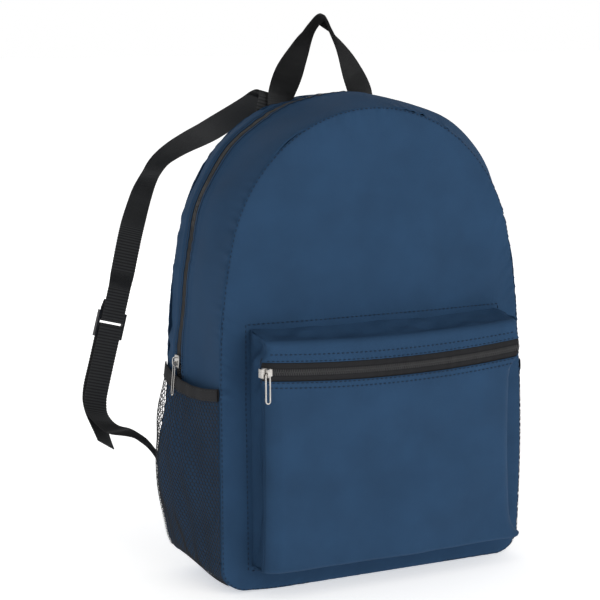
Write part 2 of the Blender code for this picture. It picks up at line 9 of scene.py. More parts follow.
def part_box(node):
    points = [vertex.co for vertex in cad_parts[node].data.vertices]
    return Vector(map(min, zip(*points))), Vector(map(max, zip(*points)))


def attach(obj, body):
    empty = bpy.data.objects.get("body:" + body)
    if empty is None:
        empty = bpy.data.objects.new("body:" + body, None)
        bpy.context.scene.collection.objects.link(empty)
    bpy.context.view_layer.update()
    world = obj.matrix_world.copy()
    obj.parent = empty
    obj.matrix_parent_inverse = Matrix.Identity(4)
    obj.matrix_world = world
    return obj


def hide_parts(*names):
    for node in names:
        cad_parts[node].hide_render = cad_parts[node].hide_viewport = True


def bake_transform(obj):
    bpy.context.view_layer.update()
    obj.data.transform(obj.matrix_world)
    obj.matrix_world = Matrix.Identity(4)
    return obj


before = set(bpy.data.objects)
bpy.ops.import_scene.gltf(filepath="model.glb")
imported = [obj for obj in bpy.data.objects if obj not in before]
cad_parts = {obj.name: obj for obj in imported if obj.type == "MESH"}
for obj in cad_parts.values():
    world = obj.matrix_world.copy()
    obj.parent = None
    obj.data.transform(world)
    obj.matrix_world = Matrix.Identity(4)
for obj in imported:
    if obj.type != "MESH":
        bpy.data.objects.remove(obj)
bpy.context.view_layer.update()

# School backpack: the cloth, net, webbing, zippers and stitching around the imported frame.
# Lengths are in metres. Left is -X, the front pocket faces -Y, and the straps are on +Y.

# ---- Sizes read from the frame --------------------------------------------------------------
HALF_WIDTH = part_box("front_panel")[1].x
FRONT_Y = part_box("front_panel")[0].y
BACK_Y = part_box("back_panel")[1].y
FRONT_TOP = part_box("front_panel")[1].z
BACK_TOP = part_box("back_panel")[1].z
FOOT_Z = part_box("left_side_panel")[1].z
SIDE_SEAM_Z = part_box("left_side_panel")[0].z
ZIP_Y = (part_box("gusset_front_strip")[1].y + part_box("gusset_rear_strip")[0].y) / 2
POCKET_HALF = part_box("pocket_front_panel")[1].x
POCKET_FACE_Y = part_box("pocket_front_panel")[0].y
POCKET_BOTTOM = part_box("pocket_front_panel")[0].z
POCKET_ZIP_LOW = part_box("pocket_front_panel")[1].z
POCKET_ZIP_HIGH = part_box("pocket_upper_panel")[0].z
POCKET_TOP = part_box("pocket_upper_panel")[1].z
POCKET_ZIP_Z = (POCKET_ZIP_LOW + POCKET_ZIP_HIGH) / 2
POCKET_ZIP_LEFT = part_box("pocket_zipper_tape_upper")[0].x
POCKET_ZIP_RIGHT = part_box("pocket_zipper_tape_upper")[1].x
POCKET_EDGE_TOP = 0.217   # height of the pocket's front top edge
CORNER_RADIUS = 0.022
LEG_RADIUS = 0.520
CLOTH = 0.0009            # thickness of the cloth
TAPE = 0.0005             # and of the zippers' tape

# Share of half the outline, by length: bottom, corner, side, leg of the arch, crown.
BREAKS = (0.0, 0.201, 0.256, 0.513, 0.708, 1.0)
HALF_OUTLINE = 0.6306
ZIP_SLOT = 0.0050         # half of the main zipper's width that shows
SPLIT_Z = 0.171           # the gusset's ends are sewn on here, behind the side pockets' bindings
FOOT_T = BREAKS[3] / 2
ZIP_LOW_Y = ZIP_Y - ZIP_SLOT
ZIP_HIGH_Y = ZIP_Y + ZIP_SLOT


def side_share(z):
    """Share of the outline's length at height z on its straight side."""
    up = (z - CORNER_RADIUS) / (FOOT_Z - CORNER_RADIUS)
    return (BREAKS[2] + (BREAKS[3] - BREAKS[2]) * up) / 2


SPLIT_T = side_share(SPLIT_Z)
SEAM_T = side_share(SIDE_SEAM_Z)


# ---- Small helpers ---------------------------------------------------------------------------
def waves(points, size, seed, count=7):
    """Smooth noise from -1 to 1 about: a sum of plane waves with seeded directions."""
    draw = np.random.default_rng(seed)
    total = np.zeros(points.shape[:-1])
    for _ in range(count):
        direction = draw.normal(size=3)
        direction *= 2 * math.pi / (np.linalg.norm(direction) * size * draw.uniform(0.7, 1.5))
        total += np.sin(points @ direction + draw.uniform(0, 2 * math.pi))
    return total / math.sqrt(count) / 1.2


def smooth(edge0, edge1, x):
    t = np.clip((x - edge0) / (edge1 - edge0), 0, 1)
    return t * t * (3 - 2 * t)


def add_mesh(name, points, faces, material, uvs=None, shade=True):
    mesh = bpy.data.meshes.new(name)
    mesh.from_pydata([tuple(p) for p in points], [], [tuple(f) for f in faces])
    mesh.materials.append(material)
    if uvs is not None:
        layer = mesh.uv_layers.new(name="UVMap")
        corners = np.zeros(len(mesh.loops), np.int32)
        mesh.loops.foreach_get("vertex_index", corners)
        layer.data.foreach_set("uv", np.asarray(uvs, np.float32)[corners].ravel())
    if shade:
        mesh.shade_smooth()
    made = bpy.data.objects.new(name, mesh)
    bpy.context.scene.collection.objects.link(made)
    return made


def grid_faces(rows, columns, wrap=False):
    r, c = np.meshgrid(np.arange(rows - 1), np.arange(columns if wrap else columns - 1), indexing="ij")
    a = r * columns + c
    b = r * columns + (c + 1) % columns
    return np.stack([a, b, b + columns, a + columns], -1).reshape(-1, 4)


BAG_MIDDLE = np.array([0.0, 0.0, 0.2])
POCKET_MIDDLE = np.array([0.0, -0.06, 0.12])


def grid_piece(name, grid, material, uvs=None, thick=CLOTH, wrap=False, middle=BAG_MIDDLE):
    """Cloth from a grid of points. It faces away from middle, and its thickness is on the inside."""
    rows, columns = grid.shape[:2]
    if uvs is None:
        along = np.linalg.norm(np.diff(grid, axis=1), axis=2).cumsum(1)
        across = np.linalg.norm(np.diff(grid, axis=0), axis=2).cumsum(0)
        u = np.concatenate([np.zeros((rows, 1)), along], 1)
        v = np.concatenate([np.zeros((1, columns)), across], 0)
        uvs = np.stack([u, v], -1)
    faces = grid_faces(rows, columns, wrap)
    corners = grid.reshape(-1, 3)[faces]
    normals = np.cross(corners[:, 2] - corners[:, 0], corners[:, 3] - corners[:, 1])
    if ((corners.mean(1) - middle) * normals).sum() < 0:
        faces = faces[:, ::-1]
    made = add_mesh(name, grid.reshape(-1, 3), faces, material, uvs.reshape(-1, 2))
    if thick:
        solid = made.modifiers.new("thickness", "SOLIDIFY")
        solid.thickness = thick
        solid.offset = -1
    return made


def on_bag(piece, slot, *nodes):
    """The piece is fixed to the bag and stands for these nodes; slot is not used."""
    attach(piece, "bag")
    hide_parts(*nodes)


def outward_normals(made):
    """Turn the faces of a mesh the same way out, and drop its loose points."""
    work = bmesh.new()
    work.from_mesh(made.data)
    bmesh.ops.recalc_face_normals(work, faces=work.faces[:])
    loose = [corner for corner in work.verts if not corner.link_faces]
    bmesh.ops.delete(work, geom=loose, context="VERTS")
    work.to_mesh(made.data)
    work.free()


def unit(v):
    return v / np.maximum(np.linalg.norm(v, axis=-1, keepdims=True), 1e-12)


def resample(path, step):
    """Points evenly spaced by about step along a dense path, and their distance along it."""
    path = np.asarray(path, float)
    length = np.concatenate([[0], np.linalg.norm(np.diff(path, axis=0), axis=1).cumsum()])
    count = max(2, int(round(length[-1] / step)) + 1)
    at = np.linspace(0, length[-1], count)
    return np.stack([np.interp(at, length, path[:, k]) for k in range(path.shape[1])], -1), at


def curve_through(points, steps=12):
    """A Catmull-Rom curve through points of any dimension."""
    p = np.asarray(points, float)
    p = np.concatenate([[2 * p[0] - p[1]], p, [2 * p[-1] - p[-2]]])
    made = []
    for a, b, c, d in zip(p, p[1:], p[2:], p[3:]):
        for k in range(steps):
            u = k / steps
            curve = 2 * b + (c - a) * u + (2 * a - 5 * b + 4 * c - d) * u ** 2
            made.append((curve + (3 * b - a - 3 * c + d) * u ** 3) / 2)
    return np.array(made + [p[-2]])


# ---- Materials -------------------------------------------------------------------------------
class Nodes:
    """A material's node tree with short calls for the nodes used here."""

    def __init__(self, name):
        self.material = bpy.data.materials.new(name)
        self.material.use_nodes = True
        self.tree = self.material.node_tree
        self.shader = self.tree.nodes["Principled BSDF"]

    @classmethod
    def of_tree(cls, tree):
        """The same short calls for a tree that has no material, such as the world's."""
        made = cls.__new__(cls)
        made.tree = tree
        return made

    def set(self, **values):
        for key, value in values.items():
            self.shader.inputs[key.replace("_", " ")].default_value = value

    def add(self, kind, **values):
        node = self.tree.nodes.new(kind)
        for key, value in values.items():
            if key in node.inputs:
                node.inputs[key].default_value = value
            else:
                setattr(node, key, value)
        return node

    def link(self, source, target):
        self.tree.links.new(source, target)
        return source

    def math(self, operation, a, b=None):
        node = self.add("ShaderNodeMath", operation=operation)
        for k, value in enumerate((a, b)):
            if isinstance(value, (int, float)):
                node.inputs[k].default_value = value
            elif value is not None:
                self.link(value, node.inputs[k])
        return node.outputs[0]

    def noise(self, vector, scale, detail=3.0, rough=0.55):
        node = self.add("ShaderNodeTexNoise", Scale=scale, Detail=detail, Roughness=rough)
        self.link(vector, node.inputs["Vector"])
        return node.outputs["Fac"]

    def mix(self, factor, low, high):
        node = self.add("ShaderNodeMix", data_type="RGBA")
        self.link(factor, node.inputs["Factor"])
        node.inputs["A"].default_value = (*low, 1)
        node.inputs["B"].default_value = (*high, 1)
        return node.outputs["Result"]

    def remap(self, value, low, high, out_low=0.0, out_high=1.0):
        node = self.add("ShaderNodeMapRange")
        for k, number in zip((1, 2, 3, 4), (low, high, out_low, out_high)):
            node.inputs[k].default_value = number
        self.link(value, node.inputs[0])
        return node.outputs[0]

    def bump(self, height, distance, strength=1.0, after=None):
        node = self.add("ShaderNodeBump", Strength=strength, Distance=distance)
        self.link(height, node.inputs["Height"])
        if after is not None:
            self.link(after, node.inputs["Normal"])
        return node.outputs["Normal"]

    def coordinates(self, kind):
        return self.add("ShaderNodeTexCoord").outputs[kind]

    def split(self, vector):
        node = self.add("ShaderNodeSeparateXYZ")
        self.link(vector, node.inputs[0])
        return node.outputs

    def thread(self, along, pitch):
        """1 on top of a thread and 0 between two, for threads that lie pitch apart."""
        phase = self.math("MULTIPLY", along, math.pi / pitch)
        return self.math("ABSOLUTE", self.math("SINE", phase))


def scaled(colour, factor):
    return tuple(min(1.0, c * factor) for c in colour)


def woven(name, colour, pitch, roughness, sheen, depth, mottle=0.10, cross=1.0, wear=0.0):
    """Plain weave on the cloth's own grid, with uneven dye and thread, painted shade in the gaps between
    threads and painted highlight on their tops.
    """
    n = Nodes(name)
    uv = n.coordinates("UV")
    place = n.coordinates("Object")
    x, y, _ = n.split(uv)
    warp = n.thread(x, pitch)
    weft = n.thread(y, pitch * cross)
    along = n.math("SINE", n.math("MULTIPLY", x, math.pi / pitch))
    aside = n.math("SINE", n.math("MULTIPLY", y, math.pi / (pitch * cross)))
    over = n.math("GREATER_THAN", n.math("MULTIPLY", along, aside), 0.0)
    under = n.math("SUBTRACT", 1.0, over)
    weave = n.math("ADD", n.math("MULTIPLY", over, warp), n.math("MULTIPLY", under, weft))
    dye = n.noise(place, 26.0, 4.0)
    base = n.mix(n.remap(dye, 0.30, 0.70), scaled(colour, 1 - mottle), scaled(colour, 1 + mottle))
    fibre = n.noise(place, 900.0, 2.0)
    shade = n.add("ShaderNodeMix", data_type="RGBA", blend_type="MULTIPLY")
    shade.inputs["Factor"].default_value = 0.45
    n.link(base, shade.inputs["A"])
    # Painted shade in the gaps between threads and painted highlight on their tops; the fibre noise is the
    # yarn's own uneven tone.
    weave_shade_and_fibre = n.mix(n.math("MULTIPLY", weave, n.remap(fibre, 0.2, 0.8, 0.75, 1.0)), (0.55,) * 3, (1.25,) * 3)
    n.link(weave_shade_and_fibre, shade.inputs["B"])
    n.link(shade.outputs["Result"], n.shader.inputs["Base Color"])
    n.link(n.remap(dye, 0.25, 0.75, roughness - 0.05, roughness + 0.06), n.shader.inputs["Roughness"])
    crease = n.bump(n.noise(place, 75.0, 4.0, 0.6), 0.0006, 0.35)
    n.link(n.bump(weave, depth, 0.8, crease), n.shader.inputs["Normal"])
    n.set(Sheen_Weight=sheen, Sheen_Roughness=0.45)
    n.shader.inputs["Sheen Tint"].default_value = (*scaled(colour, 4.0), 1)
    n.shader.inputs["Specular IOR Level"].default_value = 0.10
    return n.material


def ribbed(name, colour, rib, roughness):
    """Heavy narrow webbing: its ribs are geometry, and the yarns on them are drawn here, with painted shade
    in the grooves between ribs and painted highlight on their tops.
    """
    n = Nodes(name)
    x, y, _ = n.split(n.coordinates("UV"))
    place = n.coordinates("Object")
    yarn = n.thread(y, 0.0011)
    ribs = n.thread(x, rib)
    fuzz = n.noise(place, 1400.0, 3.0)
    height = n.math("ADD", n.math("MULTIPLY", yarn, ribs), n.math("MULTIPLY", fuzz, 0.35))
    # Painted shade in the grooves between ribs and painted highlight on their tops; the fuzz noise is the
    # yarn's own uneven tone.
    rib_shade_and_fuzz = n.math("MULTIPLY", ribs, n.remap(fuzz, 0.25, 0.75, 0.6, 1.0))
    n.link(n.mix(rib_shade_and_fuzz, scaled(colour, 0.40), scaled(colour, 1.62)), n.shader.inputs["Base Color"])
    n.link(n.bump(height, 0.00016, 0.9), n.shader.inputs["Normal"])
    n.set(Roughness=roughness)
    n.shader.inputs["Specular IOR Level"].default_value = 0.2
    return n.material


def metal(name, colour):
    n = Nodes(name)
    place = n.coordinates("Object")
    smear = n.noise(place, 420.0, 4.0)
    n.link(n.mix(n.remap(smear, 0.3, 0.75), scaled(colour, 0.82), colour), n.shader.inputs["Base Color"])
    n.link(n.remap(smear, 0.3, 0.8, 0.20, 0.36), n.shader.inputs["Roughness"])
    n.link(n.bump(n.noise(place, 1500.0, 3.0), 0.00004, 0.4), n.shader.inputs["Normal"])
    n.set(Metallic=1.0)
    return n.material


def plastic(name, colour, roughness):
    n = Nodes(name)
    place = n.coordinates("Object")
    grain = n.noise(place, 2600.0, 2.0)
    rub = n.noise(place, 160.0, 3.0)
    n.link(n.mix(n.remap(rub, 0.4, 0.8), colour, scaled(colour, 1.35)), n.shader.inputs["Base Color"])
    n.link(n.remap(rub, 0.3, 0.8, roughness, roughness + 0.15), n.shader.inputs["Roughness"])
    n.link(n.bump(grain, 0.00003, 0.5), n.shader.inputs["Normal"])
    return n.material


def thread_material(name, colour, sheen=0.1):
    n = Nodes(name)
    place = n.coordinates("Object")
    ply = n.noise(place, 3000.0, 2.0)
    n.link(n.mix(ply, scaled(colour, 0.7), scaled(colour, 1.3)), n.shader.inputs["Base Color"])
    n.set(Roughness=0.7, Sheen_Weight=sheen)
    n.shader.inputs["Specular IOR Level"].default_value = 0.2
    return n.material


NAVY = (0.0235, 0.0600, 0.1230)
BLACK_TAPE = (0.0270, 0.0272, 0.0290)
ZIP_TAPE = (0.0215, 0.0217, 0.0235)
BLACK_WEBBING = (0.0320, 0.0325, 0.0335)
RIB_PITCH = 0.0029
PAINT = {
    "navy": woven("navy_cloth", NAVY, 0.00042, 0.84, 0.02, 0.00010),
    "tape": woven("zipper_tape", ZIP_TAPE, 0.00070, 0.85, 0.04, 0.00014, 0.06),
    "rim": woven("rim_binding", BLACK_TAPE, 0.00090, 0.82, 0.12, 0.00022, 0.08, 1.6),
    "webbing": ribbed("black_webbing", BLACK_WEBBING, RIB_PITCH, 0.88),
    "metal": metal("zipper_metal", (0.50, 0.48, 0.455)),
    "plastic": plastic("buckle_plastic", (0.013, 0.013, 0.014), 0.34),
    "coil": plastic("coil_plastic", (0.018, 0.018, 0.019), 0.62),
    # The pocket coil's plastic is a lighter copy of the main coil's: its extra lightness is painted highlight
    # on the coil's ribs.
    "pocket_coil_highlit": plastic("pocket_coil_highlit_plastic", (0.052, 0.052, 0.054), 0.50),
    "net": thread_material("net_yarn", (0.0210, 0.0218, 0.0245), 0.0),
    "thread": thread_material("navy_thread", (0.0085, 0.0215, 0.0470), 0.0),
    "black_thread": thread_material("black_thread", (0.012, 0.012, 0.013)),
}


# ---- Stitches --------------------------------------------------------------------------------
STITCH_LENGTH, STITCH_GAP, STITCH_SINK = 0.0028, 0.0016, 0.00005
# (share of the stitch's length, share of its radius, rise in radii) of its rings
STITCH_SHAPE = ((0.0, 0.35, -0.5), (0.14, 0.85, 0.35), (0.5, 1.0, 1.0), (0.86, 0.85, 0.35), (1.0, 0.35, -0.5))


def stitches(name, path, normals, paint, radius=0.00046):
    """A row of lockstitches along a path, each a small rounded length of thread."""
    path = np.asarray(path, float)
    normals = unit(np.asarray(normals, float))
    joined, at = resample(np.concatenate([path, normals], 1), 0.0005)
    points, out = joined[:, :3], unit(joined[:, 3:])
    pitch = STITCH_LENGTH + STITCH_GAP
    count = int(at[-1] / pitch)
    verts, faces = [], []
    sides = 6
    for k in range(count):
        start = k * pitch + STITCH_GAP / 2
        first = len(verts)
        for share, swell, rise in STITCH_SHAPE:
            s = start + share * STITCH_LENGTH
            p = np.array([np.interp(s, at, points[:, i]) for i in range(3)])
            n = unit(np.array([np.interp(s, at, out[:, i]) for i in range(3)]))
            before = np.array([np.interp(s - 0.0005, at, points[:, i]) for i in range(3)])
            after = np.array([np.interp(s + 0.0005, at, points[:, i]) for i in range(3)])
            side = unit(np.cross(unit(after - before), n))
            middle = p + n * (rise * radius * 0.9 - STITCH_SINK)
            for j in range(sides):
                angle = 2 * math.pi * j / sides
                verts.append(middle + (side * math.cos(angle) + n * math.sin(angle)) * radius * swell)
        rings = len(STITCH_SHAPE)
        for r in range(rings - 1):
            for j in range(sides):
                a, b = first + r * sides + j, first + r * sides + (j + 1) % sides
                faces.append((a, b, b + sides, a + sides))
        faces.append(tuple(first + j for j in reversed(range(sides))))
        faces.append(tuple(first + (rings - 1) * sides + j for j in range(sides)))
    made = add_mesh(name, verts, faces, PAINT[paint])
    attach(made, "bag")
    return made


# ---- Shell of the main compartment -------------------------------------------------------------
def soften(points):
    """The filled bag's own shape: bottom edges and rear corners lift, the sides swell low down."""
    points = np.array(points, float)
    x, y, z = points[..., 0], points[..., 1], points[..., 2]
    corner = smooth(0.05, 0.149, np.abs(x)) * smooth(-0.05, 0.052, y) * (1 - smooth(0.0, 0.085, z))
    edge = (1 - smooth(-0.052, -0.015, y)) * (1 - smooth(0.0, 0.03, z))
    edge = edge * 0.0030 * (1 - smooth(-0.149, -0.09, x))
    spread = np.where(z < 0.098, 0.075, 0.045)
    full = np.exp(-(((z - 0.098) / spread) ** 2)) * smooth(-0.045, 0.045, y)
    full = full * smooth(0.09, 0.149, np.abs(x))
    swell = smooth(0.08, 0.149, x) * (1 - smooth(-0.04, 0.03, y))
    swell = swell * np.sin(math.pi * np.clip((z - 0.01) / 0.2, 0, 1))
    under = np.maximum(0, CORNER_RADIUS - np.maximum(z, 0))
    inset = CORNER_RADIUS - np.sqrt(CORNER_RADIUS ** 2 - under ** 2)
    square = 0.6 * smooth(-0.03, 0.045, y) * inset / (HALF_WIDTH - inset)
    moved = points.copy()
    moved[..., 0] += 0.0035 * swell - 0.001 * np.sign(x) * corner + square * x + 0.0118 * np.sign(x) * full
    moved[..., 2] += 0.018 * corner + edge
    return moved


def outline(t, y, out):
    """Outline at depth y and share t of its length, from the middle of the bottom, left side first."""
    t, y, out = np.broadcast_arrays(np.asarray(t, float), np.asarray(y, float), np.asarray(out, float))
    half = np.where(t > 0.5, 1 - t, t) * 2
    side = np.where(t > 0.5, 1.0, -1.0)
    depth = (y - FRONT_Y) / (BACK_Y - FRONT_Y)
    rise = (FRONT_TOP - FOOT_Z) + (BACK_TOP - FRONT_TOP) * depth
    offset = LEG_RADIUS - HALF_WIDTH
    q = (LEG_RADIUS - rise) / offset
    turn = 2 * np.arctan((1 - q) / (1 + q))
    crown = LEG_RADIUS - offset / np.cos(turn)
    crown_z = FOOT_Z + offset * np.tan(turn)
    shares = [np.clip((half - a) / (b - a), 0, 1) for a, b in zip(BREAKS, BREAKS[1:])]
    corner_x = HALF_WIDTH - CORNER_RADIUS
    bottom, corner, side_up, leg, top = shares
    angle1 = corner * math.pi / 2
    angle3 = leg * turn
    angle4 = turn + (math.pi / 2 - turn) * top
    choices = (
        (corner_x * bottom, -out),
        (corner_x + (CORNER_RADIUS + out) * np.sin(angle1),
         CORNER_RADIUS - (CORNER_RADIUS + out) * np.cos(angle1)),
        (HALF_WIDTH + out, CORNER_RADIUS + (FOOT_Z - CORNER_RADIUS) * side_up),
        ((LEG_RADIUS + out) * np.cos(angle3) - offset, FOOT_Z + (LEG_RADIUS + out) * np.sin(angle3)),
        ((crown + out) * np.cos(angle4), crown_z + (crown + out) * np.sin(angle4)),
    )
    x, z = choices[0]
    z = np.broadcast_to(z, t.shape)
    for start, (cx, cz) in zip(BREAKS[1:], choices[1:]):
        x = np.where(half >= start, cx, x)
        z = np.where(half >= start, cz, z)
    return np.stack([side * x, y, z], -1)


def pucker(s, d, seed, wave=0.016, deep=0.0008, reach=0.010):
    """Gathers that fade away from a seam: s along it, d away from it."""
    draw = np.random.default_rng(seed)
    total = 0.0
    for k in range(4):
        size = wave * draw.uniform(0.65, 1.6)
        phase = 2 * math.pi * s / size + draw.uniform(0, 6.3)
        total = total + np.sin(phase + 1.5 * np.sin(s / draw.uniform(0.03, 0.07)))
    uneven = 0.55 + 0.45 * np.sin(s / 0.041 + seed)
    return deep * total / 2.2 * uneven * np.exp(-((d / reach) ** 1.3))


def gusset_rise(t, y):
    """How far the cloth of the gusset stands out from the nominal outline."""
    s = t * 2 * HALF_OUTLINE
    front = y - FRONT_Y
    back = BACK_Y - y
    half = np.where(t > 0.5, 1 - t, t)
    arch = smooth(BREAKS[2] / 2, FOOT_T, half)
    v = np.clip(front / (BACK_Y - FRONT_Y), 0, 1)
    rise = 0.0028 * np.sin(math.pi * v) * smooth(FOOT_T + 0.01, FOOT_T + 0.06, half)
    bulge = np.exp(-(((t - 0.585) / 0.054) ** 2)) * smooth(0.0, 0.026, front) * smooth(0.0, 0.03, back)
    rise = rise + 0.0135 * bulge
    ridge = np.abs(np.abs(y - ZIP_Y) - ZIP_SLOT - 0.0092)
    rise = rise + arch * 0.0007 * np.exp(-((ridge / 0.0018) ** 2))
    rise = rise - 0.0009 * np.exp(-front / 0.0016) - 0.0016 * np.exp(-back / 0.0022)
    rise = rise + pucker(s, front, 3, 0.012, 0.0010, 0.009) * arch
    rise = rise + pucker(s, back, 5, 0.015, 0.0010, 0.014) * arch
    for edge, seed in ((ZIP_LOW_Y, 11), (ZIP_HIGH_Y, 12)):
        away = np.abs(y - edge)
        roll = 0.0007 * np.exp(-((away / 0.0035) ** 2))
        groove = 0.0005 * np.exp(-(((away - 0.0062) / 0.0014) ** 2))
        rise = rise + arch * (roll - groove)
        rise = rise + arch * pucker(s, away, seed, 0.012, 0.00035, 0.012)
    points = np.stack(np.broadcast_arrays(s, y, 0 * s), -1)
    rise = rise + 0.0014 * waves(points, 0.050, 21) * arch
    return rise


def gusset_grid(t0, t1, count, y0, y1, rows):
    t = np.linspace(t0, t1, count)[None, :]
    y = np.linspace(y0, y1, rows)[:, None]
    t, y = np.broadcast_arrays(t, y)
    return soften(outline(t, y, gusset_rise(t, y)))


def gusset_line(t0, t1, y, count=500):
    """A line along the gusset at depth y, with the direction out of the cloth."""
    t = np.linspace(t0, t1, count)
    depth = np.full(count, y)
    rise = gusset_rise(t, depth)
    line = soften(outline(t, depth, rise))
    return line, unit(outline(t, depth, rise + 0.01) - outline(t, depth, rise))


def make_gusset():
    navy = PAINT["navy"]
    foot = SPLIT_T
    edge = 0.0004
    strips = (
        ("gusset_front", foot, 1 - foot, 380, FRONT_Y + edge, ZIP_LOW_Y, 38, ("gusset_front_strip",)),
        ("gusset_rear", foot, 1 - foot, 380, ZIP_HIGH_Y, BACK_Y - edge, 18, ("gusset_rear_strip",)),
        ("side_panel_left", SEAM_T, foot, 80, FRONT_Y + edge, BACK_Y - edge, 50, ("left_side_panel",)),
        ("side_panel_right", 1 - foot, 1 - SEAM_T, 80, FRONT_Y + edge, BACK_Y - edge, 50,
         ("right_side_panel",)),
    )
    for name, t0, t1, count, y0, y1, rows, nodes in strips:
        made = grid_piece(name, gusset_grid(t0, t1, count, y0, y1, rows), navy)
        on_bag(made, "navy_cloth", *nodes)
    t = np.concatenate([np.linspace(1 - SEAM_T, 1, 90), np.linspace(0, SEAM_T, 90)[1:]])[None, :]
    y = np.linspace(FRONT_Y + edge, BACK_Y - edge, 40)[:, None]
    t, y = np.broadcast_arrays(t, y)
    rise = gusset_rise(t, y)
    made = grid_piece("bottom_cloth", soften(outline(t, y, np.minimum(rise, 0.0))), navy)
    on_bag(made, "navy_cloth", "bottom_panel")
    for name, y in (("front", ZIP_LOW_Y - 0.0026), ("rear", ZIP_HIGH_Y + 0.0026)):
        stitches("stitches_zip_" + name, *gusset_line(foot, 1 - foot, y), "thread")


def make_bindings():
    """Woven tape over the seam allowances, inside the bag."""
    t = np.linspace(0, 1, 200, endpoint=False)[None, :]
    for name, y0 in (("front", FRONT_Y + 0.0026), ("back", BACK_Y - 0.0106)):
        y = np.linspace(y0, y0 + 0.0080, 5)[:, None]
        t2, y2 = np.broadcast_arrays(t, y)
        grid = soften(outline(t2, y2, -0.0042))
        made = grid_piece(name + "_binding_tape", grid, PAINT["tape"], wrap=True)
        on_bag(made, "seam_binding", name + "_seam_binding")


def panel_grid(front):
    """Front or back panel as rings from its seam to a point behind the pocket."""
    y0, sign = (FRONT_Y, -1.0) if front else (BACK_Y, 1.0)
    columns = 460
    t = np.linspace(0, 1, columns, endpoint=False)
    inward = np.linspace(0, 1, 64) ** 1.7
    edge = outline(t, np.full(columns, y0), np.zeros(columns))
    ahead = outline(t + 1e-4, np.full(columns, y0), np.zeros(columns)) - edge
    centre = np.array([0.0, y0, 0.12])
    normal = unit(np.stack([ahead[:, 2], np.zeros(columns), -ahead[:, 0]], -1))
    reach = np.abs(((edge - centre) * normal).sum(1))
    grid = edge[None] + (centre - edge)[None] * (inward * 0.999)[:, None, None]
    d = inward[:, None] * reach[None, :]
    s = (t * 2 * HALF_OUTLINE)[None, :]
    full = 0.0042 if front else 0.0030
    rise = 0.0018 * (1 - np.exp(-d / 0.0016)) + full * (1 - np.exp(-((d / 0.070) ** 1.6))) - 0.0008
    above = smooth(0.03, 0.16, grid[..., 2])
    rise = rise + (0.35 + 0.65 * above) * pucker(s, d, 31 if front else 32, 0.012, 0.0010, 0.009)
    rise = rise + above * 0.0013 * waves(grid, 0.085, 41 if front else 42) * smooth(0.0, 0.03, d)
    rise = rise + above * 0.0005 * waves(grid, 0.034, 43) * smooth(0.0, 0.02, d)
    grid = grid.copy()
    grid[..., 1] += sign * rise
    return soften(grid), t


def make_panels():
    for front, name, node in ((True, "front_cloth", "front_panel"), (False, "back_cloth", "back_panel")):
        grid, t = panel_grid(front)
        uvs = grid[..., [0, 2]]
        made = grid_piece(name, grid, PAINT["navy"], uvs, wrap=True)
        on_bag(made, "navy_cloth", node)
        inset = 0.0013
        columns = grid.shape[1]
        line = np.empty((columns, 3))
        d = np.linalg.norm(grid - grid[:1], axis=2)
        for k in range(columns):
            line[k] = [np.interp(inset, d[:, k], grid[:, k, i]) for i in range(3)]
        arch = (t > 0.05) & (t < 0.95)
        normals = np.zeros((columns, 3))
        normals[:, 1] = -1 if front else 1
        stitches("stitches_" + name, line[arch], normals[arch], "thread")


# ---- Zippers ---------------------------------------------------------------------------------
def teeth(name, path, normals, across, paint, sign, pitch=0.00210, reach=0.0029):
    """One side of a coil zipper: a flattened wound loop for each pitch."""
    joined, at = resample(np.concatenate([path, normals, across], 1), 0.0004)
    count = int(at[-1] / pitch)
    verts, faces = [], []
    loop = 10
    tube = 0.00040
    lean = 0.20 * pitch
    for k in range(count):
        s = (k + (0.5 if sign > 0 else 0.0)) * pitch + pitch * 0.25
        p = np.array([np.interp(s, at, joined[:, i]) for i in range(9)])
        ahead = np.array([np.interp(s + 0.0008, at, joined[:, i]) for i in range(3)])
        point, n, w = p[:3], unit(p[3:6]), unit(p[6:9])
        tangent = unit(ahead - point)
        first = len(verts)
        for j in range(loop):
            angle = 2 * math.pi * j / loop
            c, sn = math.cos(angle), math.sin(angle)
            middle = point + w * sign * (reach * 0.5 + c * reach * 0.56) + n * (0.0007 + sn * 0.00055)
            middle = middle + tangent * lean * c
            radial = unit(w * sign * c + n * sn)
            for u in range(4):
                b = math.pi / 4 + math.pi / 2 * u
                verts.append(middle + (radial * math.cos(b) + tangent * math.sin(b)) * tube)
        for j in range(loop):
            for u in range(4):
                a = first + j * 4 + u
                b = first + j * 4 + (u + 1) % 4
                c2 = first + ((j + 1) % loop) * 4 + (u + 1) % 4
                d2 = first + ((j + 1) % loop) * 4 + u
                faces.append((a, b, c2, d2))
    made = add_mesh(name, verts, faces, PAINT[paint])
    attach(made, "bag")
    return made


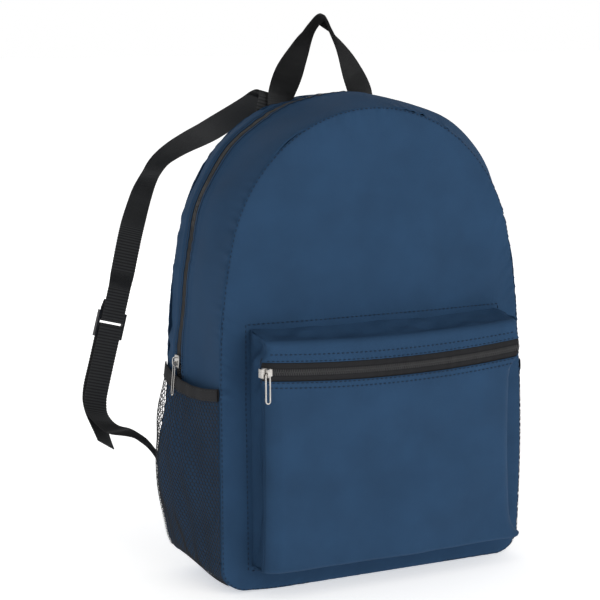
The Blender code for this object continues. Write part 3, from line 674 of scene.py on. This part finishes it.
def make_main_zipper():
    foot = SPLIT_T
    under = -0.0007
    for name, y0, y1 in (("front", ZIP_Y - 0.0125, ZIP_Y - 0.0001), ("rear", ZIP_Y + 0.0001, ZIP_Y + 0.0125)):
        t = np.linspace(foot, 1 - foot, 380)[None, :]
        y = np.linspace(y0, y1, 7)[:, None]
        t, y = np.broadcast_arrays(t, y)
        hidden = smooth(ZIP_SLOT * 0.9, ZIP_SLOT + 0.004, np.abs(y - ZIP_Y))
        base = gusset_rise(t, y) * (1 - hidden) + hidden * (gusset_rise(t, y) - 0.0008)
        grid = soften(outline(t, y, base + under))
        made = grid_piece("main_tape_" + name, grid, PAINT["tape"], thick=TAPE)
        on_bag(made, "zipper_tape", "main_zipper_tape_" + name)
    t = np.linspace(foot + 0.002, 1 - foot - 0.002, 700)
    y = np.full(t.shape, ZIP_Y)
    base = gusset_rise(t, y)
    line = soften(outline(t, y, base + under))
    out = unit(outline(t, y, base + 0.01) - outline(t, y, base))
    across = np.broadcast_to(np.array([0.0, 1.0, 0.0]), line.shape)
    for sign, name in ((-1, "front"), (1, "rear")):
        made = teeth("main_coil_" + name, line, out, across, "coil", sign)
        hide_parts("main_zipper_coil_" + name)


# ---- Front pocket ------------------------------------------------------------------------------
REAR_Y = FRONT_Y - 0.0004
POCKET_SEAM_HALF = 0.1212  # half width of the pocket where it is sewn on
TOP_ROLL_RADIUS = 0.0055   # the panel above the zipper turns back over the top with this radius
LEDGE = 0.034              # its length from there to its seam


def pocket_roll(z):
    """Radius that the pocket's face rolls over with, into its side walls."""
    return 0.0115 - 0.0080 * np.exp(-(((z - POCKET_ZIP_Z - 0.004) / 0.022) ** 4))


def pocket_half(side, z):
    """Half width of the pocket at its front: ears at the seams' corners and at the zipper's ends."""
    tall = np.clip((z - POCKET_BOTTOM) / (POCKET_EDGE_TOP - POCKET_BOTTOM), 0, 1)
    waist = 0.0022 * np.sin(math.pi * tall) ** 1.2
    at_zip = 0.0062 * np.exp(-(((z - POCKET_ZIP_Z) / 0.0125) ** 4))
    low_ear = np.exp(-np.abs((z - POCKET_BOTTOM - 0.002) / 0.0080) ** 1.3)
    top_ear = np.exp(-np.abs((z - POCKET_EDGE_TOP - 0.001) / 0.0048) ** 1.3)
    low, top = (0.0125, 0.0065) if side > 0 else (0.0010, 0.0010)
    return POCKET_HALF - waist + at_zip + low * low_ear + top * top_ear


def pocket_edge(side, z):
    """Where the face's roll ends and the side wall starts."""
    tall = np.clip((z - POCKET_BOTTOM) / (POCKET_EDGE_TOP - POCKET_BOTTOM), 0, 1)
    x = pocket_half(side, z)
    y = POCKET_FACE_Y + 0.0020 * np.sin(math.pi * tall) + pocket_roll(z)
    return np.stack([side * x, y, z + 0 * x], -1)


def face_depth(u, z):
    """How far the pocket's face stands forward of its side edges, u from -1 to 1 across it."""
    tall = np.clip((z - POCKET_BOTTOM) / (POCKET_EDGE_TOP - POCKET_BOTTOM), 0, 1)
    belly = 0.0062 * (1 - np.abs(u) ** 2.4) * np.sin(math.pi * (0.06 + 0.86 * tall)) ** 0.7
    radius = pocket_roll(z)
    inside = np.minimum((1 - np.abs(u)) * POCKET_HALF, radius)
    roll = np.sqrt(np.maximum(0, radius ** 2 - (radius - inside) ** 2))
    points = np.stack(np.broadcast_arrays(u * POCKET_HALF, 0 * u, z), -1)
    away = np.abs(z - POCKET_ZIP_Z)
    soft = smooth(0.008, 0.03, away)
    quiet = (1 - np.abs(u) ** 6)
    ripple = (0.0013 * waves(points, 0.075, 61) + 0.0005 * waves(points, 0.03, 62)) * soft * quiet
    gather = pucker(u * POCKET_HALF, np.maximum(away - 0.0079, 0), 63, 0.009, 0.0004, 0.009)
    seams = np.abs(away - 0.0079 - 0.0056)
    groove = -0.0004 * np.exp(-((seams / 0.0012) ** 2))
    return belly + roll + ripple + gather + groove


def face_point(u, z):
    left, right = pocket_edge(-1, z), pocket_edge(1, z)
    middle = left + (right - left) * ((u + 1) / 2)[..., None]
    middle[..., 1] -= face_depth(u, z)
    below = np.maximum(POCKET_ZIP_Z - z, 0) / 0.055
    bow = 0.0056 * (1 - u ** 2) * np.exp(-(below ** 2))
    bow = bow * (1 - 0.35 * smooth(POCKET_ZIP_HIGH, POCKET_EDGE_TOP, z))
    middle[..., 2] -= bow
    return middle


def face_grid(z0, z1, rows, columns=210):
    u = np.sin(np.linspace(-math.pi / 2, math.pi / 2, columns)) * 0.8 + np.linspace(-1, 1, columns) * 0.2
    z = np.linspace(z0, z1, rows)
    u, z = np.broadcast_arrays(u[None, :], z[:, None])
    return face_point(u, z), u


def make_pocket():
    navy = PAINT["navy"]
    lower, u = face_grid(POCKET_BOTTOM + 0.004, POCKET_ZIP_LOW, 90)
    # The lowest rows turn under towards the seam.
    turn = 8
    under = []
    for k in range(turn, 0, -1):
        share = k / turn
        row = lower[0].copy()
        row[:, 2] -= 0.0042 * math.sin(share * math.pi / 2)
        row[:, 1] += 0.0060 * (1 - math.cos(share * math.pi / 2))
        under.append(row)
    cloth = np.concatenate([np.array(under), lower])
    front = grid_piece("pocket_front_cloth", cloth, navy, middle=POCKET_MIDDLE)
    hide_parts("pocket_front_panel")
    # The panel above the zipper rolls back over the top to its seam.
    band, u = face_grid(POCKET_ZIP_HIGH, POCKET_EDGE_TOP - 0.003, 10)
    top_row = band[-1]
    rows = []
    for share in np.linspace(0.04, 1, 34):
        row = top_row.copy()
        roll = TOP_ROLL_RADIUS
        length = roll * math.pi / 2
        reach = share * (length + LEDGE)
        narrow = top_row[:, 0] * POCKET_SEAM_HALF / np.abs(top_row[0, 0])
        rear = np.stack([narrow, np.full(len(row), REAR_Y), np.full(len(row), POCKET_TOP - 0.001)], -1)
        if reach < length:
            angle = reach / roll
            row[:, 1] += roll * (1 - math.cos(angle))
            row[:, 2] += roll * math.sin(angle)
        else:
            start = top_row + np.array([0.0, roll, roll])
            f = (reach - length) / LEDGE
            row = start + (rear - start) * f
            sag = 0.0030 * math.sin(math.pi * f) * (1 - np.abs(u[0]) ** 4)
            row[:, 2] -= sag * 0.6
            points = row * np.array([1.0, 1.4, 1.0])
            folds = 0.0016 * waves(points, 0.05, 71) + 0.0007 * waves(points, 0.022, 72)
            row[:, 2] += math.sin(math.pi * f) * folds
        rows.append(row)
    cloth = np.concatenate([band, np.array(rows)])
    upper = grid_piece("pocket_upper_cloth", cloth, navy, middle=POCKET_MIDDLE)
    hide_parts("pocket_upper_panel")
    for piece in (front, upper):
        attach(piece, "bag")
    for side, name in ((-1, "left"), (1, "right")):
        z = np.linspace(POCKET_BOTTOM, POCKET_EDGE_TOP + 0.004, 110)
        start = pocket_edge(side, z)
        grid = []
        for share in np.linspace(0, 1, 26):
            climb = smooth(0.8, 1.0, (z - POCKET_BOTTOM) / 0.2)
            zr = z + (POCKET_TOP - POCKET_EDGE_TOP - 0.004) * share * climb
            end = np.stack([np.full(z.shape, side * POCKET_SEAM_HALF), np.full(z.shape, REAR_Y), zr], -1)
            row = start + (end - start) * share
            tall = (z - POCKET_BOTTOM) / (POCKET_EDGE_TOP - POCKET_BOTTOM)
            bend = math.sin(math.pi * share) ** 2
            tuck = 0.0040 * bend * np.sin(math.pi * np.clip(tall, 0, 1)) ** 0.5
            high = smooth(0.62, 0.95, tall)
            folds = 0.0024 * np.sin(z / 0.0038 + share * 5.0) * high * bend
            points = np.stack([0 * z, np.full(z.shape, share * 0.036), z], -1)
            noise = 0.0012 * waves(points, 0.024, 81 + side) * bend
            row[:, 0] += -side * (tuck + folds + noise)
            grid.append(row)
        made = grid_piece(f"pocket_wall_{name}", np.array(grid), navy, middle=POCKET_MIDDLE)
        on_bag(made, "navy_cloth", f"pocket_{name}_wall")
    grid = []
    first = np.array(under)[0]
    for share in np.linspace(0, 1, 16):
        narrow = first[:, 0] * POCKET_SEAM_HALF / 0.122
        seam_z = np.full(len(first), POCKET_BOTTOM + 0.0006)
        rear = np.stack([narrow, np.full(len(first), REAR_Y), seam_z], -1)
        row = first + (rear - first) * share
        row[:, 2] += 0.0012 * math.sin(math.pi * share)
        grid.append(row)
    made = grid_piece("pocket_floor_cloth", np.array(grid), navy, middle=POCKET_MIDDLE)
    on_bag(made, "navy_cloth", "pocket_bottom_wall")
    for name, z in (("low", POCKET_ZIP_LOW - 0.0058), ("low_edge", POCKET_ZIP_LOW - 0.0012),
                    ("high", POCKET_ZIP_HIGH + 0.0062), ("high_edge", POCKET_ZIP_HIGH + 0.0012)):
        line = face_point(np.linspace(-0.985, 0.985, 300), np.full(300, z))
        stitches("stitches_pocket_" + name, line, np.broadcast_to([0.0, -1.0, 0.0], line.shape), "thread")


def make_pocket_seam():
    """Where the pocket is sewn on: a row of stitches just outside it, on the front panel."""
    low, high, reach = POCKET_BOTTOM - 0.0035, POCKET_TOP + 0.0030, 0.1255
    route = [(-reach, low), (-reach, 0.12), (-reach, high), (0.0, high)]
    route += [(reach, high), (reach, 0.12), (reach, low), (0.0, low), (-reach, low)]
    corners = []
    for (x0, z0), (x1, z1) in zip(route, route[1:]):
        for f in np.linspace(0, 1, 60, endpoint=False):
            corners.append((x0 + (x1 - x0) * f, z0 + (z1 - z0) * f))
    line = np.array([(x, 0.0, z) for x, z in corners])
    grid, _ = panel_grid(True)
    cloth = grid.reshape(-1, 3)
    for k, point in enumerate(line):
        near = ((cloth[:, [0, 2]] - point[[0, 2]]) ** 2).sum(1)
        line[k, 1] = cloth[np.argmin(near), 1]
    smooth_y = np.convolve(np.pad(line[:, 1], 6, mode="edge"), np.ones(13) / 13, "valid")
    line[:, 1] = smooth_y - 0.0001
    stitches("stitches_pocket_seam", line, np.broadcast_to([0.0, -1.0, 0.0], line.shape), "thread")


def make_pocket_zipper():
    count = 260
    u = np.linspace(-1.0, 1.0, count)
    centre = face_point(u, np.full(count, POCKET_ZIP_Z))
    for name, z0, z1 in (("lower", -0.0110, -0.0001), ("upper", 0.0001, 0.0110)):
        grid = []
        for z in np.linspace(POCKET_ZIP_Z + z0, POCKET_ZIP_Z + z1, 14):
            row = face_point(u, np.full(count, z))
            row[:, 1] += 0.0010 + 0.0010 * smooth(0.0070, 0.0085, abs(z - POCKET_ZIP_Z))
            row[:, 1] -= 0.0004 * math.exp(-((abs(z - POCKET_ZIP_Z) - 0.0042) / 0.0006) ** 2)
            grid.append(row)
        made = grid_piece("pocket_tape_" + name, np.array(grid), PAINT["tape"], thick=TAPE,
                          middle=POCKET_MIDDLE)
        on_bag(made, "zipper_tape", "pocket_zipper_tape_" + name)
    line = centre.copy()
    line[:, 1] += 0.0010
    out = np.broadcast_to(np.array([0.0, -1.0, 0.0]), line.shape)
    across = np.broadcast_to(np.array([0.0, 0.0, 1.0]), line.shape)
    for sign, name in ((-1, "lower"), (1, "upper")):
        made = teeth("pocket_coil_highlit_" + name, line, out, across, "pocket_coil_highlit", sign, reach=0.0023)
        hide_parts("pocket_zipper_coil_" + name)


# ---- Mesh side pockets ---------------------------------------------------------------------------
MESH_LOW, MESH_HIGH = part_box("left_mesh_pocket")
RIM_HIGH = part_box("left_pocket_rim")[1].z
MESH_FLOOR = 0.0045
MESH_FRONT = FRONT_Y + 0.0010
MESH_BACK = BACK_Y - 0.0010
RIM_START = 0.942
NET_SIZE = (0.112, 0.172)  # cut size of a side pocket's net


def mesh_point(side, v, w, lift=0.0):
    """A point of a side pocket: v from the front seam to the back one, w from the floor to the top."""
    y = MESH_FRONT + v * (MESH_BACK - MESH_FRONT)
    top = RIM_HIGH - 0.009 * (1 - v) - 0.024 * v * (1 - v)
    z = MESH_FLOOR + w * (top - MESH_FLOOR)
    under = np.maximum(0, CORNER_RADIUS - z)
    body = HALF_WIDTH - CORNER_RADIUS + np.sqrt(CORNER_RADIUS ** 2 - under ** 2)
    high = np.exp(-(((w - 0.80) / 0.16) ** 2))
    belly = (0.0010 * np.sin(math.pi * w ** 1.1) + 0.0080 * high) * np.sin(math.pi * v ** 5.0) ** 0.8
    fore = 0.0035 * np.sin(math.pi * v) * np.sin(math.pi * w)
    rim = 0.0050 * np.sin(math.pi * v ** 0.8) * w ** 1.5
    gather = (v - 0.12) * 30 + 1.2 * np.sin(w * 5 + v * 3)
    fold = 0.0011 * np.sin(gather) * np.sin(math.pi * v) * smooth(0.0, 0.12, w) * (1 - 0.6 * w)
    slack = 0.0012 * np.sin(v * 9 - w * 16) * np.sin(math.pi * v) * np.sin(math.pi * w)
    flat, clear = (0.30, 0.0007) if side > 0 else (1.0, 0.0013)
    x = body + clear + lift + belly + (fore + rim) * flat + fold + slack
    return soften(np.stack([side * x, y, z], -1))


def make_net(side, name):
    """Knitted net: hexagonal holes between yarns that have their real thickness."""
    wide, high = NET_SIZE
    cell_wide, row_step = 0.0044, 0.0030
    columns, rows = int(wide / cell_wide), int(high * RIM_START / row_step)
    share = 0.85
    verts, faces, index = [], [], {}

    def corner(px, py):
        key = (round(px * 1e6), round(py * 1e6))
        if key not in index:
            index[key] = len(verts)
            verts.append((px, py))
        return index[key]

    tall = row_step / 1.5
    ring_shape = ((0, tall), (0.5, tall / 2), (0.5, -tall / 2),
                  (0, -tall), (-0.5, -tall / 2), (-0.5, tall / 2))
    for r in range(rows + 1):
        for c in range(columns + 1):
            cx = (c + 0.5 * (r % 2)) * cell_wide
            cy = r * row_step
            ring = [(cx + px * cell_wide, cy + py) for px, py in ring_shape]
            outer = [corner(*p) for p in ring]
            first = len(verts)
            for k in range(12):
                a, b = ring[k // 2], ring[(k // 2 + 1) % 6]
                p = a if k % 2 == 0 else ((a[0] + b[0]) / 2, (a[1] + b[1]) / 2)
                pull = share if k % 2 == 0 else share * 1.07
                verts.append((cx + (p[0] - cx) * pull, cy + (p[1] - cy) * pull))
            for k in range(6):
                i0, i1, i2 = first + 2 * k, first + 2 * k + 1, first + (2 * k + 2) % 12
                faces.append((outer[k], outer[(k + 1) % 6], i2, i1, i0))
    flat = np.array(verts)
    v = np.clip(flat[:, 0] / (columns * cell_wide), 0, 1)
    w = np.clip(flat[:, 1] / (rows * row_step), 0, 1) * RIM_START
    points = mesh_point(side, v, w)
    keep = [f for f in faces if len({tuple(np.round(points[k], 6)) for k in f}) == len(f)]
    made = add_mesh(name, points, keep, PAINT["net"])
    outward_normals(made)
    solid = made.modifiers.new("thickness", "SOLIDIFY")
    solid.thickness = 0.00045
    solid.offset = 0
    return made


def make_mesh_pockets():
    for side, name in ((-1, "left"), (1, "right")):
        v = np.linspace(0, 1, 90)
        profile = (
            (0.939, 0.0001), (0.939, 0.0007), (0.942, 0.0010), (0.960, 0.0013), (0.990, 0.0012),
            (0.9985, 0.0008), (1.0, 0.0002), (0.9985, -0.0004), (0.990, -0.0006), (0.942, -0.0006),
            (0.939, -0.0001),
        )
        grid = []
        for w, lift in profile:
            grid.append(mesh_point(side, v, np.full(v.shape, w), lift))
        rim = grid_piece("rim_" + name, np.array(grid), PAINT["rim"], thick=0)
        on_bag(rim, "pocket_binding", name + "_pocket_rim")
        net = make_net(side, "net_" + name)
        on_bag(net, "net", name + "_mesh_pocket")
        for row, w in (("low", 0.947), ("high", 0.990)):
            line = mesh_point(side, np.linspace(0.01, 0.99, 200), np.full(200, w), 0.0012)
            out = np.broadcast_to([float(side), 0.0, 0.0], line.shape)
            stitches(f"stitches_rim_{name}_{row}", line, out, "black_thread", radius=0.00022)


# ---- Webbing ---------------------------------------------------------------------------------
def rolled(path, widths, roll):
    """Turn the direction across the webbing about the path, by an angle at each point."""
    tangent = unit(np.gradient(path, axis=0))
    across = unit(widths - tangent * (widths * tangent).sum(1, keepdims=True))
    other = np.cross(tangent, across)
    roll = np.asarray(roll)[:, None]
    return across * np.cos(roll) + other * np.sin(roll)


# (share of the half width, share of the half thickness) over the webbing's upper face
WEB_SHAPE = ((-1, 0.0), (-0.985, 0.62), (-0.93, 0.95), (-0.5, 1.0), (0, 1.0),
             (0.5, 1.0), (0.93, 0.95), (0.985, 0.62), (1, 0.0))
WEB_HALF, WEB_THICK = 0.0125, 0.0012


def webbing(name, path, widths, cup=None):
    """Ribbed webbing along a path; widths is the direction across it, and cup its curl, at each point."""
    half_width, thick, rib = WEB_HALF, WEB_THICK, RIB_PITCH
    step = rib / 6
    curl = np.zeros(len(path)) if cup is None else cup
    joined, at = resample(np.concatenate([path, widths, curl[:, None]], 1), step)
    points, across, curl = joined[:, :3], unit(joined[:, 3:6]), joined[:, 6]
    curl = np.where(np.abs(curl) < 1e-4, 1e-4, curl)
    tangent = unit(np.gradient(points, axis=0))
    across = unit(across - tangent * (across * tangent).sum(1, keepdims=True))
    up = np.cross(tangent, across)
    wave = np.cos(2 * math.pi * at / rib)
    ring = list(WEB_SHAPE) + [(x, -h) for x, h in reversed(WEB_SHAPE[1:-1])]
    grid = []
    for x, h in ring:
        edge = 0.00014 * wave if abs(x) > 0.97 else 0.0
        side = x * half_width + np.sign(x) * edge
        rise = h * (thick / 2 + (0.00007 * wave if abs(h) > 0.5 else 0.0))
        bend = side * curl / (2 * half_width)
        reach = 2 * half_width / curl + rise
        aside = reach * np.sin(bend)
        lift = reach * np.cos(bend) - 2 * half_width / curl
        grid.append(points + across * aside[:, None] + up * lift[:, None])
    grid = np.array(grid).transpose(1, 0, 2)
    count, sides = grid.shape[:2]
    u = np.repeat(at[:, None], sides, 1)
    v = np.broadcast_to(np.array([x for x, _ in ring]) * half_width, (count, sides))
    faces = [tuple(f) for f in grid_faces(count, sides, wrap=True)]
    faces.append(tuple(reversed(range(sides))))
    faces.append(tuple((count - 1) * sides + k for k in range(sides)))
    made = add_mesh(name, grid.reshape(-1, 3), faces, PAINT["webbing"], np.stack([u, v], -1).reshape(-1, 2))
    outward_normals(made)
    return made


STRAP_TOP = np.array([-0.043, 0.0525, 0.413])
STRAP_BOTTOM = np.array([-0.140, 0.0525, 0.048])
STRAP_SPLAY = math.radians(8.0)
LOCK_S, LOCK_T, LAYER = 0.2327, 0.1795, 0.0026
TOP_ROLL, BEND_ROLL, LONG_ROLL = math.radians(-20.0), math.radians(14.0), math.radians(-8.0)
LOW_ROLL = math.radians(16.0)
LOW_EDGE = np.array([0.47, 0.87, -0.14])   # the way the left lower webbing's edge points near the bag
TAIL_ROLL = math.radians(20.0)
ROOT_ROUTE = ((0.0012, 0.0170), (0.0012, 0.0050), (0.0022, 0.0000), (0.0072, -0.0028))
UPPER_ROUTE = (
    (0.0155, -0.0010), (0.0310, 0.0080), (0.0575, 0.0227), (0.0847, 0.0368), (0.1061, 0.0460),
    (0.1279, 0.0554), (0.1451, 0.0645), (0.1587, 0.0743), (0.1679, 0.0868), (0.1742, 0.1021),
    (0.1775, 0.1219), (0.1790, 0.1418), (0.1785, 0.1613), (0.1776, 0.1807), (0.1769, 0.1990),
)
LOWER_ROUTE = (
    (0.1766, 0.2950), (0.1755, 0.3060), (0.1700, 0.3165), (0.1590, 0.3225), (0.1430, 0.3262),
    (0.1217, 0.3273), (0.0911, 0.3276), (0.0720, 0.3306), (0.0560, 0.3360), (0.0400, 0.3455),
    (0.0280, 0.3560), (0.0155, 0.3680),
)
ANCHOR_ROUTE = ((0.0072, 0.3745), (0.0025, 0.3785), (0.0013, 0.3830), (0.0013, 0.3930))
TAIL_ROUTE = (
    (0.1824, 0.2900), (0.1816, 0.2990), (0.1780, 0.3105), (0.1690, 0.3220), (0.1560, 0.3325),
    (0.1400, 0.3440),
)


def strap_points(side, route, splay=STRAP_SPLAY):
    """Points (t, s) of the strap's loop in the frame, and the direction across the webbing."""
    down = unit(STRAP_BOTTOM - STRAP_TOP)
    back = np.array([0.0, 1.0, 0.0])
    splay = np.asarray(splay) * np.ones(len(route))
    side_way = np.cross(down, back)
    outward = np.cos(splay)[:, None] * back - np.sin(splay)[:, None] * side_way
    across = np.cross(down, outward)
    route = np.asarray(route)
    points = STRAP_TOP + outward * route[:, :1] + down * route[:, 1:2]
    flip = np.array([-side, 1.0, 1.0])
    return points * flip, across * flip


def half_turn(s, sign, steps=16):
    angle = np.linspace(0, math.pi, steps)
    return np.stack([LOCK_T - LAYER * np.cos(angle), s + sign * LAYER * np.sin(angle)], -1)


def upper_roll(route):
    """How far the upper webbing turns about its own line, at points (t, s)."""
    t, s = route[:, 0], route[:, 1]
    roll = TOP_ROLL * np.sin(math.pi * smooth(0.008, 0.17, t)) * (s < 0.09)
    roll = roll + BEND_ROLL * np.exp(-(((s - 0.085) / 0.018) ** 2)) * smooth(0.12, 0.16, t)
    return roll + LONG_ROLL * smooth(0.11, 0.14, s) * (1 - smooth(0.182, 0.199, s))


def make_straps():
    for side, name in ((-1, "left"), (1, "right")):
        joint = curve_through(list(ROOT_ROUTE) + list(UPPER_ROUTE[:9]))
        splay = STRAP_SPLAY * smooth(0.0, 0.02, joint[:, 0])
        points, widths = strap_points(side, joint, splay)
        widths = rolled(points, widths, side * upper_roll(joint))
        made = webbing(name + "_strap_top", points, widths)
        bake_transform(made)
        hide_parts(name + "_strap_root")
        rest = curve_through(UPPER_ROUTE)[8 * 12:]
        end = [(LOCK_T - LAYER, LOCK_S - 0.0260), (LOCK_T - LAYER, LOCK_S - 0.0130)]
        back = [(LOCK_T + LAYER, LOCK_S - 0.0130), (LOCK_T + LAYER - 0.0010, LOCK_S - 0.0170),
                (LOCK_T + LAYER - 0.0024, LOCK_S - 0.0215)]
        fold = np.concatenate([end, half_turn(LOCK_S - 0.0042, 1), back])
        route = np.concatenate([rest, curve_through(fold, 6)])
        points, widths = strap_points(side, route)
        made = webbing(name + "_strap_long", points, rolled(points, widths, side * upper_roll(route)))
        points, _ = strap_points(side, [(0.175, 0.100), (0.177, LOCK_S - 0.034)])
        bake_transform(made)
        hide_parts(name + "_upper_webbing", name + "_strap_fold")
        # The lower webbing: from the anchor to the bend, then up round the lock and down to the tail.
        low = curve_through(list(reversed(ANCHOR_ROUTE)) + list(reversed(LOWER_ROUTE)))
        cut = int(np.argmin(np.abs(low[:, 0] - 0.150) + np.abs(low[:, 1] - 0.325)))
        splay = STRAP_SPLAY * smooth(0.0, 0.02, low[:, 0])
        points, widths = strap_points(side, low, splay)
        share = np.exp(-(((low[:, 0] - 0.122) / 0.020) ** 2))
        level = ((1 - smooth(0.085, 0.115, low[:, 0])) * smooth(0.012, 0.030, low[:, 0]))[:, None]
        widths = unit(widths * (1 - level) + LOW_EDGE * np.array([-side, 1.0, 1.0]) * level)
        points[:, 0] -= side * 0.005 * smooth(0.330, 0.372, low[:, 1])
        widths = rolled(points, widths, side * LOW_ROLL * share)
        made = webbing(name + "_strap_low", points[: cut + 1], widths[: cut + 1])
        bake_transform(made)
        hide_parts(name + "_strap_anchor")
        run = [(LOCK_T - LAYER, LOCK_S + 0.0400), (LOCK_T - LAYER, LOCK_S + 0.0120)]
        tail = [(LOCK_T + LAYER, LOCK_S + 0.0120), (LOCK_T + LAYER, LOCK_S + 0.0400)] + list(TAIL_ROUTE)
        route = np.concatenate([low[cut:], run, half_turn(LOCK_S + 0.0042, -1), curve_through(tail)])
        run_points, run_widths = strap_points(side, route)
        run_points[: len(low) - cut] = points[cut:]
        run_widths[: len(low) - cut] = widths[cut:]
        late = np.arange(len(route)) > len(low) - cut + 20
        roll = side * TAIL_ROLL * smooth(0.300, 0.345, route[:, 1]) * late
        run_widths = rolled(run_points, run_widths, roll)
        made = webbing(name + "_strap_run", run_points, run_widths)
        points, _ = strap_points(side, [(LOCK_T, 0.300), (LOCK_T, LOCK_S + 0.016)])
        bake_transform(made)
        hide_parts(name + "_lower_webbing")


HANDLE_FOOT_Z = 0.4143
HANDLE_ROUTE = (
    (-0.0365, 0.4040), (-0.0360, 0.4143), (-0.0267, 0.4360), (-0.0180, 0.4533), (-0.0105, 0.4700),
    (-0.0030, 0.4806), (0.0042, 0.4850), (0.0096, 0.4806), (0.0160, 0.4705),
    (0.0262, 0.4526), (0.0358, 0.4345), (0.0450, 0.4143), (0.0455, 0.3980),
)
HANDLE_TWIST = (          # (share of the length, degrees): edge-on to the front over the peak
    (0.0, 0.0), (0.06, 12.0), (0.15, 46.0), (0.27, 74.0), (0.40, 98.0), (0.47, 98.0),
    (0.52, 92.0), (0.57, 80.0), (0.63, 64.0), (0.74, 42.0), (0.865, 16.0), (1.0, 0.0),
)
HANDLE_CUP = math.radians(130.0)  # the webbing's edges curl down this far over the peak


def make_handle():
    line = curve_through(HANDLE_ROUTE)
    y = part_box("handle_end_left")[0].y + 0.0008
    points = np.stack([line[:, 0], np.full(len(line), y), line[:, 1]], -1)
    at = np.concatenate([[0], np.linalg.norm(np.diff(points, axis=0), axis=1).cumsum()])
    tangent = unit(np.gradient(points, axis=0))
    flat = np.stack([tangent[:, 2], 0 * at, -tangent[:, 0]], -1)
    below = np.array([line[0, 1], line[-1, 1]])
    share = (at - (HANDLE_FOOT_Z - below[0])) / (at[-1] - 2 * HANDLE_FOOT_Z + below.sum())
    end = np.clip(np.minimum(share, 1 - share) / 0.11, 0, 1)[:, None]
    level = unit(np.sign(0.5 - share)[:, None] * np.array([1.0, 0, 0]) * (1 - end) + flat * end)
    turns = np.array(HANDLE_TWIST)
    twist = np.radians(np.interp(share, turns[:, 0], turns[:, 1]))
    twist = np.convolve(np.pad(twist, 6, mode="edge"), np.ones(13) / 13, "valid")[:, None]
    widths = level * np.cos(twist) + np.array([0.0, -1.0, 0.0]) * np.sin(twist)
    cup = -HANDLE_CUP * np.exp(-(((share - 0.50) / 0.14) ** 2))
    made = webbing("handle_loop_webbing", points, widths, cup=cup)
    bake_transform(made)
    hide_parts("grab_handle", "handle_end_left", "handle_end_right")


# ---- CAD pieces that stay ---------------------------------------------------------------------
def finish_cad():
    looks = {
        "metal": ("main_zipper_slider", "main_zipper_pull", "pocket_zipper_slider", "pocket_zipper_pull"),
        "plastic": ("left_ladder_lock", "right_ladder_lock"),
    }
    for paint, names in looks.items():
        for name in names:
            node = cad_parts[name]
            node.data.materials.clear()
            node.data.materials.append(PAINT[paint])
            bevel = node.modifiers.new("edges", "BEVEL")
            bevel.width = 0.0005 if paint == "plastic" else 0.00025
            bevel.segments = 3
            bevel.limit_method = "ANGLE"
            bevel.angle_limit = math.radians(35)


# ---- Stage, light and camera --------------------------------------------------------------------
def make_stage():
    n = Nodes("floor_paper")
    n.set(Base_Color=(0.98, 0.98, 0.98, 1), Roughness=1.0)
    n.set(Emission_Color=(1, 1, 1, 1), Emission_Strength=0.50)
    n.shader.inputs["Specular IOR Level"].default_value = 0.0
    size = 30.0
    corners = [(-size, -size, 0), (size, -size, 0), (size, size, 0), (-size, size, 0)]
    floor = add_mesh("floor", corners, [(0, 1, 2, 3)], n.material)
    world = bpy.data.worlds.new("studio")
    bpy.context.scene.world = world
    world.use_nodes = True
    studio = Nodes.of_tree(world.node_tree)
    x, _, z = studio.split(studio.coordinates("Generated"))
    above = studio.remap(z, 0.15, 0.9, 1.0, 0.45)
    left = studio.remap(x, -0.9, -0.1, 0.80, 1.0)
    background = world.node_tree.nodes["Background"]
    background.inputs[0].default_value = (1, 1, 1, 1)
    studio.link(studio.math("MULTIPLY", above, left), background.inputs[1])
    for name, place, size, power in (
        ("key_light", (0.4, -2.2, 0.7), 1.4, 13.0),
        ("back_light", (0.6, 2.2, 0.9), 1.4, 8.0),
    ):
        data = bpy.data.lights.new(name, "AREA")
        data.energy = power
        data.size = size
        light = bpy.data.objects.new(name, data)
        light.location = place
        light.rotation_mode = "QUATERNION"
        light.rotation_quaternion = (Vector((0, 0, 0.2)) - Vector(place)).to_track_quat("-Z", "Y")
        bpy.context.scene.collection.objects.link(light)


CAMERA_YAW = math.radians(28.45)
CAMERA_PITCH = math.radians(7.84)
CAMERA_ROLL = math.radians(-0.40)
CAMERA_DISTANCE = 1.712
CAMERA_TARGET = Vector((-0.045, 0.0, 0.238))
CAMERA_LENS = 117.9


def make_camera():
    level = math.cos(CAMERA_PITCH)
    back = Vector((-math.sin(CAMERA_YAW) * level, -math.cos(CAMERA_YAW) * level, math.sin(CAMERA_PITCH)))
    right = (-back).cross(Vector((0, 0, 1))).normalized()
    up = right.cross(-back)
    right, up = (right * math.cos(CAMERA_ROLL) + up * math.sin(CAMERA_ROLL),
                 up * math.cos(CAMERA_ROLL) - right * math.sin(CAMERA_ROLL))
    data = bpy.data.cameras.new("camera")
    data.lens = CAMERA_LENS
    data.sensor_width = 36.0
    camera = bpy.data.objects.new("camera", data)
    turn = Matrix((right, up, back)).transposed()
    camera.matrix_world = Matrix.Translation(CAMERA_TARGET + back * CAMERA_DISTANCE) @ turn.to_4x4()
    bpy.context.scene.collection.objects.link(camera)
    bpy.context.scene.camera = camera


make_camera()
make_stage()
make_gusset()
make_panels()
make_bindings()
make_main_zipper()
make_pocket()
make_pocket_seam()
make_pocket_zipper()
make_mesh_pockets()
make_straps()
make_handle()
finish_cad()
bpy.context.scene.view_settings.view_transform = "Standard"

bpy.context.view_layer.update()
